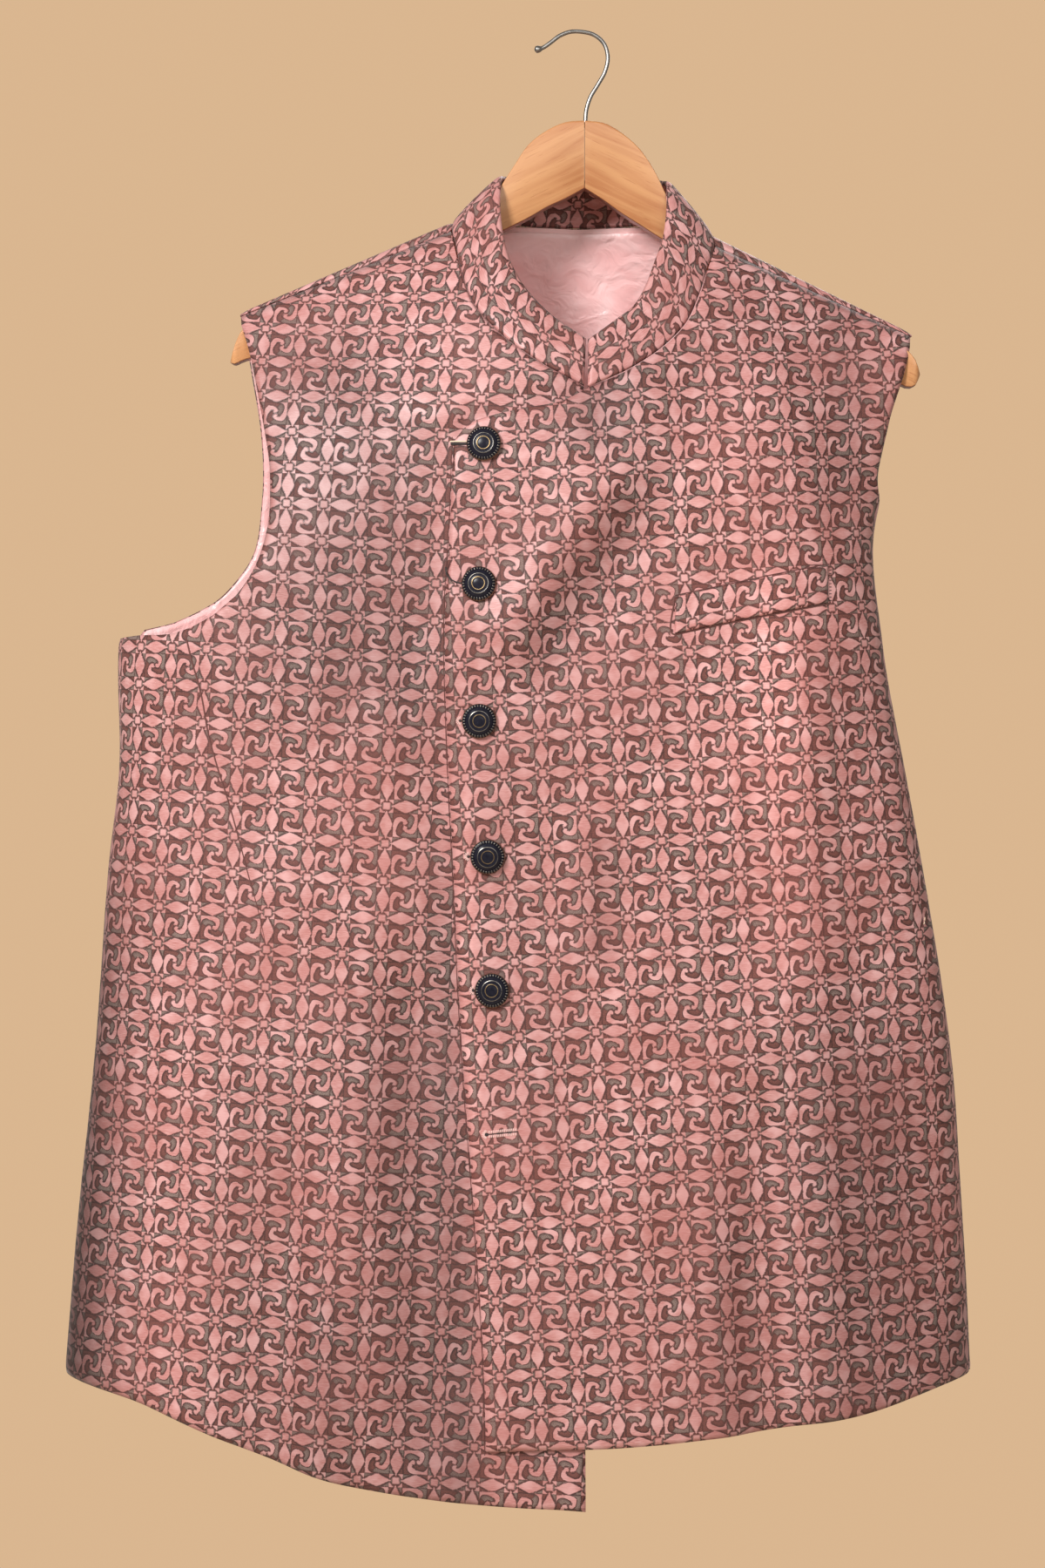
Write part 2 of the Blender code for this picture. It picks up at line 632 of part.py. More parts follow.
half_right = hanger_half("hanger_half_right", HANGER_LEFT, -1)
hanger_half("hanger_half_left", HANGER_RIGHT, 1)
face = -HANGER_THICK / 2
notch = prism("notch", 16, NOTCH_RADIUS, face - 1 * MM, face + NOTCH_DEPTH, NOTCH_X, NOTCH_Z, None, cutters)
notch.hide_render, notch.display_type = True, "WIRE"
cut = half_right.modifiers.new("notch", "BOOLEAN")
cut.operation, cut.solver, cut.object = "DIFFERENCE", "EXACT", notch
nut_rear = face + NOTCH_DEPTH - 0.3 * MM
prism("hanger_nut", 6, NUT_RADIUS, nut_rear - NUT_THICK, nut_rear, NOTCH_X, NOTCH_Z, STEEL)

wire = bpy.data.curves.new("hanger_hook", "CURVE")
wire.dimensions = "3D"
wire.bevel_depth, wire.bevel_resolution, wire.use_fill_caps = HOOK_WIRE, 2, True
path = smooth_path(np.column_stack([HOOK["x"], HOOK["z"]]), 30)
spline = wire.splines.new("POLY")
spline.points.add(len(path) - 1)
for point, (x, z) in zip(spline.points, path):
    point.co = (x, 0, z, 1)
ball = HOOK_BALL / HOOK_WIRE
for place, size in ((-3, 1.0), (-2, ball * 0.9), (-1, ball * 0.75)):
    spline.points[place].radius = size
add("hanger_hook", wire, STEEL)
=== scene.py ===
"""Visual model of the nehru jacket on its wooden hanger, for Blender 4.5.

Metres, +Z up, the front faces -Y. The cloth follows the same body form as the solids: at each
height a rounded ring that closes over the hanger in a ridge. A point of the cloth is named by
its angle round the ring (0 at the front, pi at the back, growing towards +X) and its height.
"""

import math

import bpy
import numpy as np
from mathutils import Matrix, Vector


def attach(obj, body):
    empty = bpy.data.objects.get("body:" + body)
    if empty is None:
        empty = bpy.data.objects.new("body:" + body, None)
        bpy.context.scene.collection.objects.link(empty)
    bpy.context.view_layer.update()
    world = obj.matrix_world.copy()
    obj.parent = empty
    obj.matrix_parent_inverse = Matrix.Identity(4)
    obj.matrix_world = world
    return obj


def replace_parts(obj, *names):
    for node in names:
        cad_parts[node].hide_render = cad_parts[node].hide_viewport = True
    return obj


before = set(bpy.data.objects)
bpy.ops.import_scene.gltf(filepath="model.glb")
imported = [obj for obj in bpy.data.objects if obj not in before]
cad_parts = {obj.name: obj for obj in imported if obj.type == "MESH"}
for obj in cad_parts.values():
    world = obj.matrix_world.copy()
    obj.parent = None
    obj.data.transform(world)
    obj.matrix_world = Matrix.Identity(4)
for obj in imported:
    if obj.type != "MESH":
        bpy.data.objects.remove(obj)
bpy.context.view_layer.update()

MM = 0.001

# ---------------------------------------------------------------- sizes shared with the solids
CLOTH = 2.0 * MM            # jacquard, canvas and facing together
LINING = 1.0 * MM
COLLAR_WALL = 2.6 * MM
SIDE_GAP = 1.1 * MM         # between panels at the side seams, along the cloth
SHOULDER_GAP = 0.8 * MM
LINING_GAP = 1.2 * MM       # between lining and back
OVERLAP_STEP = 4.0 * MM     # how far the under front lies behind the over front
OVERLAP_EASE = 40 * MM      # the length over which it sinks there

RIDGE_TOP = -85 * MM        # height at which the two shoulder lines would meet
SLOPE_LEFT, SLOPE_RIGHT = 0.43, 0.49
RIDGE_BEND = 0.10           # how much steeper the shoulders get per metre
NECK_RISE, NECK_RISE_HALF = 12 * MM, 67 * MM
SHOULDER_FORWARD, SHOULDER_REACH = 12 * MM, 210 * MM
FRONT_FALL, BACK_FALL = 190 * MM, 120 * MM   # drop over which the cloth reaches its full depth
SEAM_DROP_NECK, SEAM_DROP_TIP = 6.5 * MM, 2.5 * MM
SIDE_FULLNESS = 0.8         # below 1 squares the sides of the ring a little
SEAM_LEFT = math.pi / 2 + 0.46
SEAM_RIGHT = math.pi / 2 + 0.40

WELT_OUT, WELT_WALL = 1.9 * MM, 1.2 * MM


def table(names, *rows):
    """A table of millimetres: one array of metres for each named column."""
    return {name: np.array(values, float) * MM for name, values in zip(names.split(), zip(*rows))}


BODY = table(
    "z left right front back",
    (-930, -328, 252, 72, 62),
    (-845, -322, 249, 72, 62),
    (-749, -314, 244, 70, 60),
    (-639, -303, 236, 68, 58),
    (-529, -295, 219, 68, 58),
    (-463, -288, 207, 70, 60),
    (-382, -288, 193, 73, 64),
    (-309, -278, 189, 74, 66),
    (-250, -266, 212, 73, 66),
    (-190, -250, 236, 72, 66),
    (-70, -235, 270, 70, 66),
)
NECK_FRONT_LEFT = table(
    "x z", (-79, -124), (-76, -138), (-72, -156), (-64, -177), (-50, -194), (-26, -213), (4, -230)
)
NECK_FRONT_RIGHT = table(
    "x z", (88, -135), (83, -150), (77, -169), (67, -190), (56, -202), (34, -218), (6.5, -231)
)
NECK_BACK = table(
    "x z", (86.5, -127), (66, -121), (42, -118), (4, -117), (-36, -117), (-60, -118), (-78, -119)
)
OVER_TOP_EDGE = table("x z", (-7, -238), (-30, -243), (-52, -248), (-67, -253.5), (-76, -264))
FRONT_EDGE = table(
    "z x", (-881, -56), (-825, -57.5), (-740, -63), (-633, -71), (-527, -76), (-452, -79.5),
    (-367, -81), (-314, -78), (-264, -76)
)
UNDER_EDGE = table("z x", (-919, 5), (-700, 4), (-382, 4), (-230, 4))
OVER_HEM = table("x z", (-60, -881.5), (57, -877.5), (127, -869.5), (180, -861), (223, -849), (249, -843))
UNDER_HEM = table("x z", (-322, -843), (-275, -855), (-221, -876), (-141, -903), (-87, -912), (5, -919))
BACK_HEM = table("x z", (-322, -843), (-150, -850), (0, -852), (150, -850), (249, -843))

# The armholes, from the side seam up to the shoulder. The left one is cut finer than on the
# solids. Where round_side is over 0, the edge is
# that many thousandths of a radian behind the outermost line of the ring, and x isn't used.
ARM_FRONT_LEFT = (
    # round_side, x, z
    (460, None, -386), (230, None, -385), (0, None, -383), (None, -272, -381), (None, -244, -379),
    (None, -225, -370), (None, -208, -355), (None, -196.5, -336), (None, -190.5, -314), (None, -189.5, -285),
    (None, -194, -252), (None, -204, -205), (None, -210.5, -184),
)
# The second point lies about 16 mm past the side seam, which is a fault.
ARM_BACK_LEFT = (
    (460, None, -386), (None, -279, -378), (None, -253, -368), (None, -224, -349), (None, -207.5, -325),
    (None, -202, -290), (None, -202, -250), (None, -207, -210), (None, -211, -182),
)
ARM_FRONT_RIGHT = (
    (400, None, -390), (330, None, -383), (230, None, -364), (110, None, -336), (10, None, -309),
    (None, 190, -275), (None, 196, -247), (None, 206, -215), (None, 210, -197),
)
ARM_BACK_RIGHT = (
    (400, None, -390), (480, None, -378), (None, 157, -347), (None, 157, -315), (None, 168, -270),
    (None, 187, -230), (None, 211, -195),
)

# Large soft folds of the two fronts: a line from (x1, z1) to (x2, z2), the fold's half width,
# and how far it stands out (in, if negative).
FOLDS = table(
    "x1 z1 x2 z2 half out",
    (-105, -520, -88, -900, 24, -5.0),
    (-136, -640, -160, -930, 22, 4.5),
    (-165, -660, -196, -930, 20, -4.0),
    (60, -290, -25, -420, 30, -5.0),
    (30, -265, -50, -400, 24, 3.5),
    (112, -640, 122, -900, 24, -4.5),
    (146, -560, 166, -900, 24, 4.0),
    (128, -150, 176, -300, 22, -4.5),
    (160, -330, 176, -640, 26, -3.5),
    (-120, -230, -112, -420, 26, -3.0),
)
# Creases that the solids leave out, as rows of the same kind as FOLDS.
FINE_FOLDS = table(
    "x1 z1 x2 z2 half out",
    (-105, -470, -92, -900, 15, -3.0),
    (-146, -660, -168, -930, 16, 2.5),
    (40, -190, 42, -285, 16, 3.0),
    (42, -262, -50, -390, 15, 3.0),
    (4, -470, 2, -590, 12, 2.2),
    (82, -640, 94, -910, 15, 2.5),
    (140, -290, 152, -880, 18, 3.0),
    (186, -600, 200, -900, 22, 3.5),
    (108, -150, 150, -330, 15, 2.5),
    (-130, -230, -118, -460, 14, 1.6),
    (-215, -600, -240, -930, 24, 2.0),
    (-262, -700, -276, -930, 14, -1.8),
    (20, -640, 26, -930, 26, 2.0),
    (-30, -560, -40, -920, 22, 1.4),
    (210, -330, 226, -560, 14, 2.0),
    (-200, -180, -226, -300, 18, 2.0),
    (-150, -150, -120, -250, 16, -1.6),
    (66, -400, 70, -560, 18, -1.6),
)
# The back's soft troughs and ridges, of the same kind as the fronts'.
BACK_FOLDS = table(
    "x1 z1 x2 z2 half out",
    (-150, -420, -172, -930, 28, 4.0),
    (-62, -300, -74, -930, 32, -3.5),
    (38, -340, 62, -930, 28, 3.5),
    (128, -420, 150, -930, 24, -3.0),
    (-130, -165, -60, -330, 22, 2.5),
    (118, -175, 60, -340, 20, 2.5),
)
# Painted shade along the creases and past the sides, and painted light where out is negative: how much the
# cloth's colour is darkened, as a part of one.
PAINTED_SHADE_AND_LIGHT = table(
    "x1 z1 x2 z2 half out",
    (-118, -540, -92, -960, 27, 0.32),
    (-152, -740, -150, -990, 24, 0.24),
    (-312, -430, -324, -1060, 32, 0.78),
    (172, -560, 184, -1040, 42, 0.34),
    (90, -680, 102, -1000, 18, 0.22),
    (238, -740, 240, -1000, 20, 0.22),
    (-104, -210, -98, -450, 20, 0.20),
    (-190, -150, -170, -440, 48, 0.20),
    (-140, -150, -134, -440, 30, 0.20),
    (-185, -600, -200, -960, 34, 0.12),
    (22, -175, 10, -270, 26, 0.32),
    (62, -262, -30, -400, 15, 0.26),
    (160, -150, 172, -290, 18, 0.22),
    (20, -490, 14, -580, 14, 0.20),
    (95, -200, 98, -500, 44, -0.18),
    (128, -290, 122, -600, 26, -0.26),
    (40, -400, 20, -760, 60, -0.08),
    (-30, -300, -20, -700, 36, 0.06),
    (-250, -560, -262, -900, 24, -0.06),
)
# Painted shade on the under front: beside the over front's edge, and below the over front's hem.
UNDER_PAINTED_SHADE = table(
    "x1 z1 x2 z2 half out", (-90, -430, -64, -1000, 13, 0.28), (-50, -860, 10, -860, 20, 0.2)
)
# Painted light along the over front's edge.
OVER_PAINTED_LIGHT = table("x1 z1 x2 z2 half out", (-73, -400, -52, -1000, 5, -0.16))

COLLAR_RIM = table(
    "x y z",
    (5.6, -57, -199), (-15, -52, -184), (-31, -46, -167), (-40, -39, -151), (-45, -31, -134),
    (-47.5, -21, -115), (-48, -12, -98), (-48, -2, -90), (-46, 14, -87), (-38, 28, -85.5),
    (-20, 38, -85), (3, 41, -85), (28, 38, -85.5), (47, 28, -87), (57, 14, -90), (59, 0, -93),
    (57.5, -10, -101), (56.7, -17, -115), (53.6, -27, -134), (49, -34, -147), (43, -41, -163),
    (36, -46, -176), (22, -53, -188), (6.4, -57, -199.5),
)
BUTTONS = table("x z", (-57, -266), (-60, -351.5), (-60, -435), (-55, -518), (-52, -600))
WELT = table(
    "x low high", (60, -381.5, -358.5), (92, -374.5, -351.5), (124, -368, -344.5), (156, -361.5, -338)
)

# The hanger: the height of its top and bottom edges at each distance from the middle joint.
HANGER_MIDDLE = 5.5 * MM
HANGER_THICK = 12 * MM
HANGER_BOW = 11 * MM         # how far the arms' ends stand forward of the middle
HANGER_LEFT = table(
    "out top low", (0.2, -55.6, -98.5), (12, -56.6, -105), (23, -61.4, -110), (35, -70.5, -117),
    (45, -85, -122), (53, -97.5, -126), (64, -115.5, -132), (86, -132, -144), (130, -150, -163),
    (176, -171, -187), (204, -184, -205), (214, -188, -208), (219, -197, -210.5), (222.5, -206, -211.5)
)
HANGER_RIGHT = table(
    "out top low", (0.2, -55.6, -98.5), (12, -57, -106), (23, -63, -114), (34, -72.5, -121),
    (44, -87, -127.5), (51, -101.5, -132), (62, -121.5, -139), (82, -141, -154), (126, -162, -176),
    (172, -187, -203), (196, -198, -222), (203, -202, -225), (207, -207, -224), (210.5, -214, -219)
)
HOOK_WIRE = 1.3 * MM
HOOK = table(
    "x z", (6.1, -55.1), (6.6, -48.9), (9.2, -40.2), (13.8, -32.4), (18.6, -23.6), (20.3, -14.9),
    (17.8, -6.1), (11.9, -0.8), (3.9, 1.3), (-3.3, 1.3), (-9.9, -1.1), (-16, -5.6), (-21, -8.9), (-26, -10.2)
)


# ---------------------------------------------------------------- curves and grids
def read(columns, key, name, at):
    """A column of a table, read smoothly at these values of its key column."""
    keys, values = columns[key], columns[name]
    if keys[0] > keys[-1]:
        keys, values = keys[::-1], values[::-1]
    slopes = np.gradient(values, keys)
    at = np.clip(at, keys[0], keys[-1])
    i = np.clip(np.searchsorted(keys, at) - 1, 0, len(keys) - 2)
    width = keys[i + 1] - keys[i]
    t = (at - keys[i]) / width
    return (
        values[i] * (1 + 2 * t) * (1 - t) ** 2
        + values[i + 1] * t**2 * (3 - 2 * t)
        + width * (slopes[i] * t * (1 - t) ** 2 - slopes[i + 1] * t**2 * (1 - t))
    )


def smooth_path(points, count):
    """count points, evenly spaced, on a smooth curve through these."""
    points = np.array(points, float)
    steps = np.linalg.norm(np.diff(points, axis=0), axis=1)
    place = np.concatenate([[0], np.cumsum(steps)])
    fine = np.linspace(0, place[-1], 400)
    curve = {"at": place, **{str(i): points[:, i] for i in range(points.shape[1])}}
    dense = np.column_stack([read(curve, "at", str(i), fine) for i in range(points.shape[1])])
    length = np.concatenate([[0], np.cumsum(np.linalg.norm(np.diff(dense, axis=0), axis=1))])
    even = np.linspace(0, length[-1], count)
    return np.column_stack([np.interp(even, length, dense[:, i]) for i in range(points.shape[1])])


def smooth_step(t):
    t = np.clip(t, 0, 1)
    return t * t * (3 - 2 * t)


def patch(low, high, start, end, rows=1.0):
    """A grid filled in between four edges (a Coons patch): low and high run along the columns.
    With rows over 1, the rows get closer together towards the high edge."""
    u = np.linspace(0, 1, len(low))[None, :, None]
    place = np.linspace(0, 1, len(start))
    v = 1 - (1 - place) ** rows
    start, end = (np.column_stack([np.interp(v, place, part) for part in side.T]) for side in (start, end))
    v = v[:, None, None]
    sides = (1 - u) * start[:, None] + u * end[:, None]
    ends = (1 - v) * low[None] + v * high[None]
    corners = (1 - v) * ((1 - u) * low[0] + u * low[-1]) + v * ((1 - u) * high[0] + u * high[-1])
    return sides + ends - corners


# ---------------------------------------------------------------- the body form
def ridge(x, back=0.0):
    """Height of the shoulder line. On the back it goes on up behind the neck."""
    slope = np.where(x < 0, SLOPE_LEFT, SLOPE_RIGHT)
    out = np.abs(x)
    rise = NECK_RISE * np.exp(-((out / NECK_RISE_HALF) ** 6))
    return RIDGE_TOP - slope * out * (1 + RIDGE_BEND * out) + rise * back


def creases(rows, x, z):
    """How far the folds of this table stand out here. For the tables of painted shade and light, how much
    the colour is darkened here.
    """
    total = np.zeros(np.broadcast(x, z).shape)
    for x1, z1, x2, z2, half, out in zip(*(rows[name] for name in "x1 z1 x2 z2 half out".split())):
        length = math.hypot(x2 - x1, z2 - z1)
        along = ((x - x1) * (x2 - x1) + (z - z1) * (z2 - z1)) / length**2
        across = ((x - x1) * (z2 - z1) - (z - z1) * (x2 - x1)) / length
        ends = smooth_step(along / 0.3) * smooth_step((1.15 - along) / 0.3)
        total += out * np.exp(-((across / half) ** 2)) * ends
    return total


def form(angle, z):
    """The cloth's outer face at this angle round the ring and this height."""
    left, right = read(BODY, "z", "left", z), read(BODY, "z", "right", z)
    x = (left + right) / 2 + (right - left) / 2 * np.sin(angle)
    facing = np.cos(angle)
    depth = np.where(facing > 0, -read(BODY, "z", "front", z), read(BODY, "z", "back", z))
    depth = depth * np.abs(facing) ** SIDE_FULLNESS
    fall = FRONT_FALL + (BACK_FALL - FRONT_FALL) * smooth_step(0.5 - facing)
    t = np.clip((ridge(x, smooth_step(-4 * facing)) - z) / fall, 0, 1)
    spread = (1 - (1 - t) ** 2) ** 0.75
    middle = -SHOULDER_FORWARD * (x / SHOULDER_REACH) ** 2
    y = middle * (1 - spread) + depth * spread - creases(FOLDS, x, z) * smooth_step(facing * 3) * spread
    return np.stack([x, y, z + 0 * x], axis=-1)


def angle_at(x, z, back=False):
    left, right = read(BODY, "z", "left", z), read(BODY, "z", "right", z)
    angle = np.arcsin(np.clip((x - (left + right) / 2) / ((right - left) / 2), -1, 1))
    return math.pi - angle if back else angle


def on_form(columns, back=False):
    return np.column_stack([angle_at(columns["x"], columns["z"], back), columns["z"]])


def armhole(rows, sign, back=False):
    """The edge of an armhole as (angle, z)."""
    found = []
    for round_side, x, z in rows:
        if round_side is None:
            angle = float(angle_at(x * MM, z * MM, back))
        else:
            angle = sign * (math.pi / 2 + round_side * MM)
        if back and angle < 0:
            angle += 2 * math.pi
        found.append((angle, z * MM))
    return np.array(found)


def shoulder_seam(x_tip, x_neck, count):
    """The front side of the shoulder seam as (angle, z)."""
    x = np.linspace(x_tip, x_neck, count)
    share = (x - x_tip) / (x_neck - x_tip)
    z = ridge(x) - SEAM_DROP_TIP - (SEAM_DROP_NECK - SEAM_DROP_TIP) * share
    return np.column_stack([angle_at(x, z), z])


def path_in_cloth(points, count):
    """Evenly spaced (angle, z) points, measuring an angle as its length at the chest."""
    scale = np.array([0.24, 1.0])
    return smooth_path(points * scale, count) / scale


def hem_line(columns, angles):
    """(angle, z) along a hem: its height is a table of x."""
    z = np.full(len(angles), columns["z"].mean())
    for _ in range(4):
        z = read(columns, "x", "z", form(angles, z)[:, 0])
    return np.column_stack([angles, z])


def split_at(path, z):
    """A rising armhole edge, cut where it passes this height: its bottom and its upright part."""
    cut = int(np.argmax(path[:, 1] > z))
    return path[: cut + 1], path[cut:]


# ---------------------------------------------------------------- finer grids of the same panels
WAVES = (
    # wavelength mm, direction degrees, phase, height mm
    (190, 20, 0.3, 0.9), (140, 75, 1.9, 0.7), (97, -35, 4.0, 0.55), (71, 10, 2.2, 0.35),
    (53, 60, 5.1, 0.28), (39, -12, 0.9, 0.16),
)


def uneven(x, z, scale=1.0):
    """Small waves in all directions, so that no panel is perfectly smooth."""
    total = np.zeros(np.broadcast(x, z).shape)
    for length, direction, phase, height in WAVES:
        turn = math.radians(direction)
        along = (x * math.cos(turn) + z * math.sin(turn)) * 2 * math.pi / (length * MM)
        total += height * MM * np.sin(along + phase + 1.3 * np.sin(0.37 * along + 2 * phase))
    return total * scale


def upright(columns, z_from, z_to, count):
    z = np.linspace(z_from, z_to, count)
    return np.column_stack([angle_at(read(columns, "z", "x", z), z), z])


def seam_line(angle, z_from, z_to, count):
    return np.column_stack([np.full(count, angle), np.linspace(z_from, z_to, count)])


LOW_ROWS, HIGH_ROWS, ARM_COLUMNS = 170, 84, 14


def front_grids(seam, hem_columns, arm_rows, sign, arm_split, top, edge, edge_low_z, edge_high_z):
    """The two grids of a front as (angle, z): from the hem to the chest, and up to the shoulder."""
    bottom, side = split_at(path_in_cloth(armhole(arm_rows, sign), 200), arm_split)
    bottom = path_in_cloth(bottom, ARM_COLUMNS + 1)
    side = path_in_cloth(side, HIGH_ROWS)
    side[0], side[-1] = bottom[-1], top[0]
    inner_high = upright(edge, arm_split, edge_high_z, HIGH_ROWS)
    inner_high[-1] = top[-1]
    chest = np.column_stack([
        np.linspace(side[0, 0], inner_high[0, 0], len(top)), np.full(len(top), side[0, 1])
    ])
    chest_row = np.vstack([bottom[:-1], chest])
    hem = hem_line(hem_columns, np.linspace(seam, angle_at(edge["x"][0], edge_low_z), len(chest_row)))
    outer = seam_line(seam, hem[0, 1], bottom[0, 1], LOW_ROWS)
    inner = upright(edge, edge_low_z, side[0, 1], LOW_ROWS)
    hem[-1] = inner[0]
    return patch(hem, chest_row, outer, inner), patch(chest, top, side, inner_high)


def over_panel_grids():
    """The angles fall from the side seam to the front edge."""
    shoulder = shoulder_seam(210 * MM, 88 * MM, 40)
    neck = path_in_cloth(on_form(NECK_FRONT_RIGHT), 40)
    top_edge = path_in_cloth(np.vstack([neck[-1:], on_form(OVER_TOP_EDGE)]), 30)
    top = np.vstack([shoulder, neck[1:], top_edge[1:]])
    return front_grids(
        SEAM_RIGHT, OVER_HEM, ARM_FRONT_RIGHT, 1, -360 * MM, top, FRONT_EDGE, -881 * MM, -264 * MM
    )


def under_panel_grids():
    """The angles rise from the side seam to the hidden inner edge."""
    shoulder = shoulder_seam(-210.5 * MM, -79 * MM, 44)
    neck = path_in_cloth(on_form(NECK_FRONT_LEFT), 50)
    top = np.vstack([shoulder, neck[1:]])
    return front_grids(
        -SEAM_LEFT, UNDER_HEM, ARM_FRONT_LEFT, -1, -358 * MM, top, UNDER_EDGE, -919 * MM, -230 * MM
    )


def overlap_step(points):
    """How far the under front lies behind the form, to pass under the over front."""
    x, z = points[..., 0], points[..., 2]
    past_edge = x - read(FRONT_EDGE, "z", "x", z)
    ends = {"x": 6 * MM, "z": -234 * MM}
    top = {name: np.append(OVER_TOP_EDGE[name][::-1], end) for name, end in ends.items()}
    below_top = read(top, "x", "z", x) - z
    inside = np.minimum(past_edge, below_top * 2)
    return OVERLAP_STEP * smooth_step((inside + OVERLAP_EASE) / OVERLAP_EASE)


def placed(cells):
    """The form, with the small creases that the solids leave out."""
    points = form(cells[..., 0], cells[..., 1])
    facing = np.cos(cells[..., 0])
    x, z = points[..., 0], points[..., 2]
    out = creases(FINE_FOLDS, x, z) * smooth_step(facing * 3)
    out -= creases(BACK_FOLDS, x, z) * smooth_step(-facing * 3)
    points[..., 1] -= (out + uneven(x, z) * np.sign(facing)) * fade_at_ridge(x, z)
    return points


def fade_at_ridge(x, z):
    return smooth_step((ridge(x) - z) / (60 * MM))


def placed_under(cells):
    points = placed(cells)
    points[..., 1] += overlap_step(points)
    return points


BACK_ARM_COLUMNS = 10
RIDGE_DROP = 0.2 * MM
SIDE_TURN = 150 * MM


def back_grids(margin=0.0, hem_up=0.0, neck_in=0.0, ridge_in=0.0):
    """The back's two grids as (angle, z), from the right side seam to the left."""
    right = SEAM_RIGHT + (SIDE_GAP + margin) / SIDE_TURN
    left = 2 * math.pi - SEAM_LEFT - (SIDE_GAP + margin) / SIDE_TURN
    ridges = []
    for x_from, x_to in ((211 * MM - margin, 88.8 * MM), (-80.3 * MM, -211 * MM + margin)):
        x = np.linspace(x_from, x_to, 36)
        z = ridge(x) - RIDGE_DROP - ridge_in
        ridges.append(np.column_stack([angle_at(x, z, True), z]))
    neck = path_in_cloth(on_form(NECK_BACK, True), 56)[1:-1]
    neck[:, 1] -= neck_in
    top = np.vstack([ridges[0], neck, ridges[1]])
    sides, bottoms = [], []
    for rows, sign, split in ((ARM_BACK_RIGHT, 1, -360 * MM), (ARM_BACK_LEFT, -1, -358 * MM)):
        bottom, side = split_at(path_in_cloth(armhole(rows, sign, True), 200), split)
        bottom = path_in_cloth(bottom, BACK_ARM_COLUMNS + 1)
        side = path_in_cloth(side, HIGH_ROWS)
        for edge in (bottom, side):
            edge[:, 0] += sign * margin / (240 * MM)
        bottom[:, 1] -= margin
        bottom[0, 0] = right if sign > 0 else left
        side[0] = bottom[-1]
        sides.append(side)
        bottoms.append(bottom)
    sides[0][-1], sides[1][-1] = top[0], top[-1]
    chest = np.linspace(sides[0][0], sides[1][0], len(top))
    chest_row = np.vstack([bottoms[0][:-1], chest, bottoms[1][:-1][::-1]])
    hem = hem_line(BACK_HEM, np.linspace(right, left, len(chest_row)))
    hem[:, 1] += hem_up
    outer = seam_line(right, hem[0, 1], chest_row[0, 1], LOW_ROWS)
    inner = seam_line(left, hem[-1, 1], chest_row[-1, 1], LOW_ROWS)
    return patch(hem, chest_row, outer, inner), patch(chest, top, *sides)


def over_the_ridge(points, rows=4):
    """The grid with rows added past the ridge, down to the seam on the front side."""
    x = points[-1, :, 0]
    out = np.abs(x)
    share = np.clip((211 * MM - out) / (131 * MM), 0, 1)
    drop = SEAM_DROP_TIP + (SEAM_DROP_NECK - SEAM_DROP_TIP) * share - SHOULDER_GAP
    past = smooth_step((out - 76 * MM) / (2 * MM))
    added = []
    for row in range(1, rows + 1):
        z = points[-1, :, 2] - drop * past * row / rows
        front = form(angle_at(x, z), z)
        front[:, 1] = points[-1, :, 1] + (front[:, 1] - points[-1, :, 1]) * past
        front[:, 2] += 0.15 * MM * row * (1 - past)
        added.append(front)
    return np.concatenate([points, added])


# ---------------------------------------------------------------- cloth as closed shells
CELL_WIDE, CELL_HIGH = 23.6 * MM, 22.9 * MM


class ClothLengths:
    """Lengths along the cloth, from a middle line at x = 0, and up from z = 0."""

    def __init__(self, start, end):
        self.angles = np.linspace(start, end, 400)
        self.heights = np.linspace(-950 * MM, -70 * MM, 300)
        angle, z = np.meshgrid(self.angles, self.heights)
        points = form(angle, z)
        steps = np.linalg.norm(np.diff(points[..., :2], axis=1), axis=2)
        across = np.concatenate([np.zeros((len(points), 1)), np.cumsum(steps, axis=1)], axis=1)
        middle = []
        for row, length in zip(points[:, 80:320, 0], across[:, 80:320]):
            order = np.argsort(row)
            middle.append(np.interp(0, row[order], length[order]))
        self.across = across - np.array(middle)[:, None]
        rises = np.linalg.norm(np.diff(points[..., 1:], axis=0), axis=2)
        up = np.concatenate([np.zeros((1, len(self.angles))), np.cumsum(rises, axis=0)])
        self.up = up + self.heights[0]

    def at(self, cells):
        """(across, up) for these (angle, z) points."""
        a = np.clip((cells[..., 0] - self.angles[0]) / (self.angles[1] - self.angles[0]), 0, 398.999)
        b = np.clip((cells[..., 1] - self.heights[0]) / (self.heights[1] - self.heights[0]), 0, 298.999)
        i, j = a.astype(int), b.astype(int)
        a, b = a - i, b - j
        found = []
        for values in (self.across, self.up):
            low = values[j, i] * (1 - a) + values[j, i + 1] * a
            high = values[j + 1, i] * (1 - a) + values[j + 1, i + 1] * a
            found.append(low * (1 - b) + high * b)
        return np.stack(found, axis=-1)


def weave_at(lengths, star, turn, column=0):
    """Pattern coordinates, in cells across and down. A star of the figure lies at star, the
    cloth is turned by this many degrees, and the cell to the right of the star is this column."""
    moved = lengths - np.array(star) * MM
    c, s = math.cos(math.radians(turn)), math.sin(math.radians(turn))
    across = moved[..., 0] * c + moved[..., 1] * s
    up = -moved[..., 0] * s + moved[..., 1] * c
    return np.stack([across / CELL_WIDE + column, -up / CELL_HIGH], axis=-1)


def sheet_faces(low_shape, high_shape, first):
    """Quads and the number of points of a grid with a second grid on part of its top row."""
    rows, columns = low_shape
    index_low = np.arange(rows * columns).reshape(rows, columns)
    count = rows * columns
    above = high_shape[0] - 1, high_shape[1]
    index_above = count + np.arange(above[0] * above[1]).reshape(above)
    index_high = np.vstack([index_low[-1:, first : first + high_shape[1]], index_above])
    quads = []
    for index in (index_low, index_high):
        corners = index[:-1, :-1], index[:-1, 1:], index[1:, 1:], index[1:, :-1]
        quads.append(np.stack(corners, axis=-1).reshape(-1, 4))
    return np.concatenate(quads)


